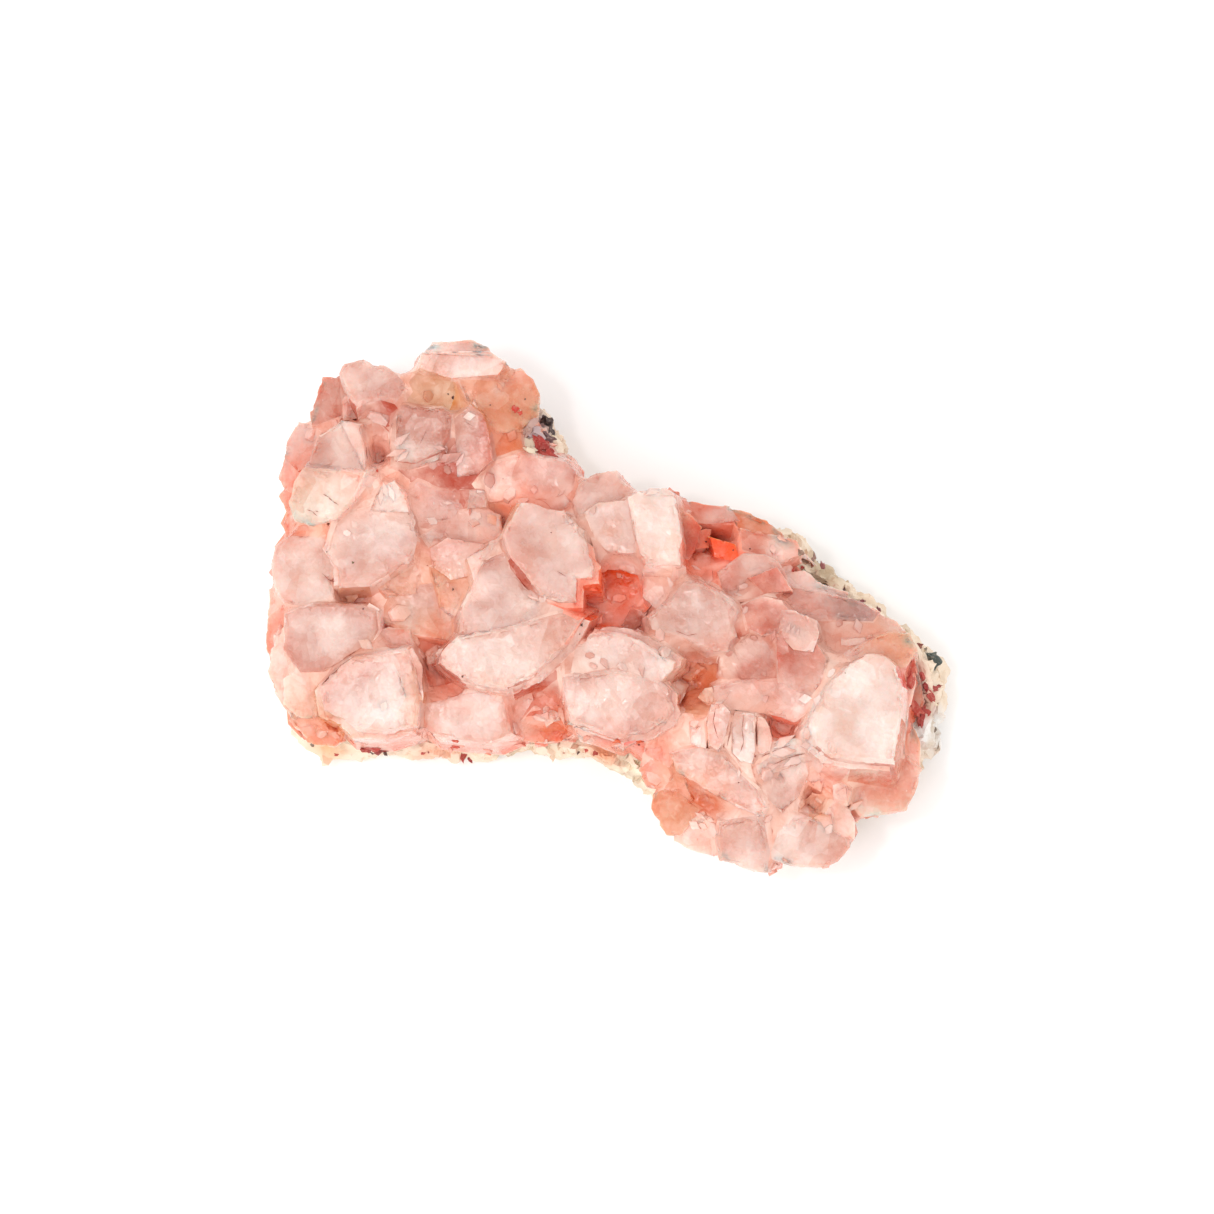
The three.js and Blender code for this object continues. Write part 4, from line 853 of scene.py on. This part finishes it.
def placeTints(obj, base, spots, depthScale, own=0.0):  # own: how far a flat face keeps to one colour
    mesh = obj.data
    places = pointsOf(obj)
    corner = np.empty(len(mesh.loops), dtype=int)
    mesh.loops.foreach_get("vertex_index", corner)
    x, y = (values[corner] for values in seen(places))
    if own:
        sides = np.empty(len(mesh.polygons), dtype=int)
        mesh.polygons.foreach_get("loop_total", sides)
        for label, values in (("facetX", x), ("facetY", y)):
            centres = np.empty(len(mesh.polygons))
            mesh.attributes[label].data.foreach_get("value", centres)
            values += (np.repeat(centres, sides) - values) * own
    wobble = ripple(places, 2.8, 2)[corner] * 0.3
    tone = np.tile(np.array(linear(base)), (len(corner), 1))
    for spotX, spotY, radius, colour, strength in spots.values():
        far = np.hypot(x - spotX, y - spotY) / radius + wobble
        weight = np.clip(np.clip(1.25 - far, 0, 1) * strength * 1.4, 0, 1)[:, None]
        tone = tone * (1 - weight) + np.array(linear(colour)) * weight
    keepValues(obj, "tone", tone, "FLOAT_COLOR", "CORNER")
    # how far each point lies below the nearby tops; the crystal material paints shade in hollows from it
    keepValues(obj, "depth", np.clip((envelope[cellsOf(places, 0.8)] - places[:, 2]) / depthScale, 0, 1))
    keepValues(obj, "edge", edgeWeights(obj, 1))


envelope = smoothed(spreadOver(topsOf(pointsOf(crystals), 0.8), 4, np.maximum), 3)
placeTints(crystals, blush, tints, 9.0, 0.6)
placeTints(overgrowth, blush, tints, 9.0)
placeTints(rind, "#F0DCC6", rockTints, 9.0)
print("tints placed")


def addNode(tree, kind, links=(), **settings):  # adds a node, sets it up and links it
    node = tree.nodes.new(kind)
    for name, value in settings.items():
        setattr(node, name, value)
    for socket, source in dict(links).items():
        if isinstance(source, bpy.types.NodeSocket):
            tree.links.new(source, node.inputs[socket])
        elif node.inputs[socket].type == "RGBA":
            node.inputs[socket].default_value = (*source, 1)
        else:
            node.inputs[socket].default_value = source
    return node


def newMaterial(name):
    material = bpy.data.materials.new(name)
    material.use_nodes = True
    tree = material.node_tree
    tree.nodes.clear()
    shader = tree.nodes.new("ShaderNodeBsdfPrincipled")
    output = tree.nodes.new("ShaderNodeOutputMaterial")
    tree.links.new(shader.outputs[0], output.inputs[0])
    return material, tree, shader


def scaleOf(size):  # a texture's scale from the size of its pattern in mm
    return 1 / (size * mm)


# sizes in mm of the patterns inside a crystal, and of those in the rock and the clay
patterns = {
    "panes": 3.226,
    "smallPanes": 0.909,
    "veils": 7.692,
    "clouds": 3.03,
    "etching": 0.4167,
    "rockGrain": 0.909,
    "rockPatches": 5.556,
    "clayGrain": 0.4,
}


# Heulandite, grown in a vesicle: milky and see-through at thin edges, with a pearly lustre on the broad faces
def heulanditeOf(name, scatter, weight):  # scatter is how far light strays inside it, in mm
    heulandite, tree, shader = newMaterial(name)
    coordinates = addNode(tree, "ShaderNodeTexCoord").outputs["Object"]
    tone = addNode(tree, "ShaderNodeAttribute", attribute_name="tone").outputs["Color"]
    depth, edge, facetShade, flank, pale, plate, squeezed = [
        addNode(tree, "ShaderNodeAttribute", attribute_name=label).outputs["Fac"]
        for label in ("depth", "edge", "facet", "flank", "pale", "plate", "squeezed")
    ]

    # painted shade: orange-red where the surface lies below the nearby tops, standing for the shade and warm
    # glow in hollows, and a deeper salmon on steep sides
    hollowShade = addNode(tree, "ShaderNodeMapRange", {0: depth, 1: 0.2, 2: 0.9, 3: 0.0, 4: 0.7}).outputs[0]
    colour = addNode(
        tree, "ShaderNodeMix", {0: hollowShade, 6: tone, 7: linear("#E0602C")},
        data_type="RGBA", blend_type="MIX",
    ).outputs[2]
    # painted shade: the steeper a face, the more it is multiplied towards a deeper salmon, so the sides look
    # darker than the tops
    steep = addNode(tree, "ShaderNodeMath", {0: flank, 1: 0.08}, operation="MULTIPLY").outputs[0]
    colour = addNode(
        tree, "ShaderNodeMix", {0: steep, 6: colour, 7: (0.92, 0.62, 0.52)},
        data_type="RGBA", blend_type="MULTIPLY",
    ).outputs[2]
    # panes of about 3 mm and 0.9 mm inside a face, turned its own way, milky veils of 8 mm and clouds of 3 mm
    turn = addNode(tree, "ShaderNodeMath", {0: facetShade, 1: 6.3}, operation="MULTIPLY").outputs[0]
    turned = addNode(
        tree, "ShaderNodeVectorRotate", {"Vector": coordinates, "Angle": turn, "Axis": (0.3, 0.2, 0.93)}
    ).outputs[0]
    wide, small = [
        addNode(
            tree, "ShaderNodeTexVoronoi", {"Vector": turned, "Scale": scaleOf(size)}, distance="CHEBYCHEV"
        )
        for size in (patterns["panes"], patterns["smallPanes"])
    ]
    veil, clouds, etching = [
        addNode(
            tree, "ShaderNodeTexNoise",
            {"Vector": vector, "Scale": scaleOf(size), "Detail": detail, "Roughness": roughness},
        )
        for vector, size, detail, roughness in (
            (turned, patterns["veils"], 2, 0.5),
            (coordinates, patterns["clouds"], 4, 0.6),
            (coordinates, patterns["etching"], 3, 0.7),
        )
    ]
    wideChance = addNode(tree, "ShaderNodeSeparateColor", {0: wide.outputs["Color"]}).outputs[0]
    smallChance = addNode(tree, "ShaderNodeSeparateColor", {0: small.outputs["Color"]}).outputs[0]
    # every one of them makes some places milkier and others deeper pink
    for source, low, middle, high, milk, pink in (
        (facetShade, 0.0, 0.5, 1.0, 0.3, 0.34),
        (veil.outputs[0], 0.36, 0.48, 0.66, 0.7, 0.3),
        (wideChance, 0.0, 0.5, 1.0, 0.22, 0.3),
        (smallChance, 0.0, 0.5, 1.0, 0.1, 0.12),
        (plate, 0.0, 0.4, 1.0, 0.2, 0.15),
        (clouds.outputs[0], 0.32, 0.5, 0.68, 0.2, 0.2),
        (etching.outputs[0], 0.3, 0.52, 0.72, 0.08, 0.05),
    ):
        milkier = addNode(
            tree, "ShaderNodeMapRange", {0: source, 1: middle, 2: high, 3: 0.0, 4: milk}
        ).outputs[0]
        colour = addNode(
            tree, "ShaderNodeMix", {0: milkier, 6: colour, 7: (0.42, 0.38, 0.34)},
            data_type="RGBA", blend_type="SCREEN",
        ).outputs[2]
        pinker = addNode(
            tree, "ShaderNodeMapRange", {0: source, 1: middle, 2: low, 3: 0.0, 4: pink}
        ).outputs[0]
        colour = addNode(
            tree, "ShaderNodeMix", {0: pinker, 6: colour, 7: (0.94, 0.69, 0.56)},
            data_type="RGBA", blend_type="MULTIPLY",
        ).outputs[2]
    # painted shade: thin outer edges and the filled clefts are given a deeper pink, standing for the shade in
    # the clefts and the light that passes through thin edges
    thin = addNode(tree, "ShaderNodeMapRange", {0: edge, 1: 0.0, 2: 0.8, 3: 0.0, 4: 0.2}).outputs[0]
    colour = addNode(
        tree, "ShaderNodeMix", {0: thin, 6: colour, 7: (0.86, 0.7, 0.63)},
        data_type="RGBA", blend_type="MULTIPLY",
    ).outputs[2]
    # painted shade in the filled clefts: a warmer peach where the clefts were filled
    cleftShade = addNode(tree, "ShaderNodeMapRange", {0: squeezed, 1: 0.0, 2: 0.6, 3: 0.0, 4: 0.6}).outputs[0]
    colour = addNode(
        tree, "ShaderNodeMix", {0: cleftShade, 6: colour, 7: (1.0, 0.83, 0.72)},
        data_type="RGBA", blend_type="MULTIPLY",
    ).outputs[2]
    # paler small crystals; on the ones set where glints show this is partly painted highlight
    colour = addNode(
        tree, "ShaderNodeMix", {0: pale, 6: colour, 7: linear("#FBEDE5")},
        data_type="RGBA", blend_type="MIX",
    ).outputs[2]
    tree.links.new(colour, shader.inputs["Base Color"])
    # growth hillocks on the faces, low pyramids of 3 mm and 0.9 mm, and the etching on them
    relief = addNode(
        tree, "ShaderNodeBump", {"Strength": 1.0, "Distance": 0.42 * mm, "Height": wide.outputs["Distance"]}
    )
    for strength, height in ((1.0, small.outputs["Distance"]), (0.14, etching.outputs[0])):
        relief = addNode(
            tree, "ShaderNodeBump",
            {"Strength": strength, "Distance": 0.1 * mm, "Height": height, "Normal": relief.outputs[0]},
        )
    tree.links.new(relief.outputs[0], shader.inputs["Normal"])
    gloss = addNode(
        tree, "ShaderNodeMapRange", {0: clouds.outputs[0], 1: 0.3, 2: 0.7, 3: 0.16, 4: 0.42}
    ).outputs[0]
    tree.links.new(gloss, shader.inputs["Roughness"])
    shader.inputs["IOR"].default_value = 1.5
    clearer = addNode(
        tree, "ShaderNodeMapRange", {0: squeezed, 1: 0.02, 2: 0.3, 3: weight, 4: weight * 0.05}
    ).outputs[0]
    tree.links.new(clearer, shader.inputs["Subsurface Weight"])
    shader.inputs["Subsurface Radius"].default_value = (1.0, 0.45, 0.36)
    shader.inputs["Subsurface Scale"].default_value = scatter * mm
    shader.inputs["Coat Weight"].default_value = 0.08
    shader.inputs["Specular IOR Level"].default_value = 0.4
    shader.inputs["Coat Roughness"].default_value = 0.12
    return heulandite


crystals.data.materials.append(heulanditeOf("grown heulandite", 3.2, 0.75))
overgrowth.data.materials.append(heulanditeOf("small grown heulandite", 0.5, 0.3))

# Weathered basalt rind, broken by hand: dull, earthy, with clay and zeolite powder in it
hostRock, tree, shader = newMaterial("weathered basalt")
coordinates = addNode(tree, "ShaderNodeTexCoord").outputs["Object"]
tone = addNode(tree, "ShaderNodeAttribute", attribute_name="tone").outputs["Color"]
grain, patches = [
    addNode(
        tree, "ShaderNodeTexNoise",
        {"Vector": coordinates, "Scale": scaleOf(size), "Detail": detail, "Roughness": roughness},
    )
    for size, detail, roughness in ((patterns["rockGrain"], 5, 0.7), (patterns["rockPatches"], 4, 0.6))
]
greyness = addNode(
    tree, "ShaderNodeMapRange", {0: patches.outputs[0], 1: 0.5, 2: 0.64, 3: 0.0, 4: 0.7}
).outputs[0]
colour = addNode(
    tree, "ShaderNodeMix", {0: greyness, 6: tone, 7: linear("#CDB9A2")},
    data_type="RGBA", blend_type="MIX",
).outputs[2]
redness = addNode(
    tree, "ShaderNodeMapRange", {0: grain.outputs[0], 1: 0.62, 2: 0.72, 3: 0.0, 4: 0.6}
).outputs[0]
colour = addNode(
    tree, "ShaderNodeMix", {0: redness, 6: colour, 7: linear("#B8685A")},
    data_type="RGBA", blend_type="MIX",
).outputs[2]
tree.links.new(colour, shader.inputs["Base Color"])
relief = addNode(tree, "ShaderNodeBump", {"Strength": 0.6, "Distance": 0.3 * mm, "Height": grain.outputs[0]})
tree.links.new(relief.outputs[0], shader.inputs["Normal"])
shader.inputs["Roughness"].default_value = 0.9
rind.data.materials.append(hostRock)

# Iron-rich clay and basalt grains, crumbled: dull, each with its own colour
clay, tree, shader = newMaterial("crumbled clay")
coordinates = addNode(tree, "ShaderNodeTexCoord").outputs["Object"]
tone = addNode(tree, "ShaderNodeAttribute", attribute_name="tone").outputs["Color"]
grain = addNode(
    tree, "ShaderNodeTexNoise",
    {"Vector": coordinates, "Scale": scaleOf(patterns["clayGrain"]), "Detail": 3, "Roughness": 0.7},
)
dusty = addNode(
    tree, "ShaderNodeMapRange", {0: grain.outputs[0], 1: 0.5, 2: 0.75, 3: 0.0, 4: 0.35}
).outputs[0]
colour = addNode(
    tree, "ShaderNodeMix", {0: dusty, 6: tone, 7: linear("#D9BFA8")},
    data_type="RGBA", blend_type="MIX",
).outputs[2]
tree.links.new(colour, shader.inputs["Base Color"])
shader.inputs["Roughness"].default_value = 0.85
stains.data.materials.append(clay)
grains.data.materials.append(clay)

# Pale studio floor, painted: even and dull
floorPaint, tree, shader = newMaterial("matt white paint")
shader.inputs["Base Color"].default_value = (*linear("#FDFDFD"), 1)
shader.inputs["Roughness"].default_value = 1.0
shader.inputs["Specular IOR Level"].default_value = 0.0

for piece in (crystals, rind, grains):
    only(piece)
    bpy.ops.object.shade_smooth_by_angle(angle=math.radians(22))

ridesAs(crystals, "heulandite", "heulandite_crystals")
ridesAs(overgrowth, "heulandite")
ridesAs(stains, "host_rock")
ridesAs(rind, "host_rock", "rock_rind")
ridesAs(grains, "host_rock")

# floor, light and camera
studio = {
    "lens": 180.0,  # mm
    "sensor": 36.0,  # mm
    "frameWidth": 156.6,  # mm across the picture at the drawing's height
    "middle": (0.13, 0.06),  # the picture's middle on the drawing, in mm
    "sky": 1.08,  # brightness of the room
    "key": ((-0.28, -0.26, 0.62), 0.5, 1.5),  # place and size in m, power in W
    "glint": ((-0.16, -0.1, 0.68), 0.05, 0.45),
}

bpy.ops.object.select_all(action="DESELECT")
bpy.ops.mesh.primitive_plane_add(size=4, location=(0, 0, -0.0001))
floor = bpy.context.object
floor.name = "floor"
floor.data.materials.append(floorPaint)

world = bpy.data.worlds.new("studio")
bpy.context.scene.world = world
world.use_nodes = True
world.node_tree.nodes["Background"].inputs[0].default_value = (1, 1, 1, 1)
world.node_tree.nodes["Background"].inputs[1].default_value = studio["sky"]


def softbox(name, place, size, power):
    light = bpy.data.lights.new(name, "AREA")
    light.shape = "DISK"
    light.size = size
    light.energy = power
    obj = bpy.data.objects.new(name, light)
    obj.location = place
    obj.rotation_euler = (-Vector(place)).to_track_quat("-Z", "Y").to_euler()
    bpy.context.scene.collection.objects.link(obj)


softbox("key", *studio["key"])
softbox("glint lamp", *studio["glint"])

camera = bpy.data.objects.new("camera", bpy.data.cameras.new("camera"))
camera.data.lens = studio["lens"]
camera.data.sensor_width = studio["sensor"]
bpy.context.scene.collection.objects.link(camera)
distance = studio["frameWidth"] * mm * studio["lens"] / studio["sensor"]
camera.location = fromDrawing(*studio["middle"]) - sight * distance
camera.rotation_euler = (lean, 0, 0)
camera.data.clip_start = 0.05
camera.data.clip_end = 10
bpy.context.scene.camera = camera
bpy.context.scene.view_settings.view_transform = "Standard"

print("scene ready")
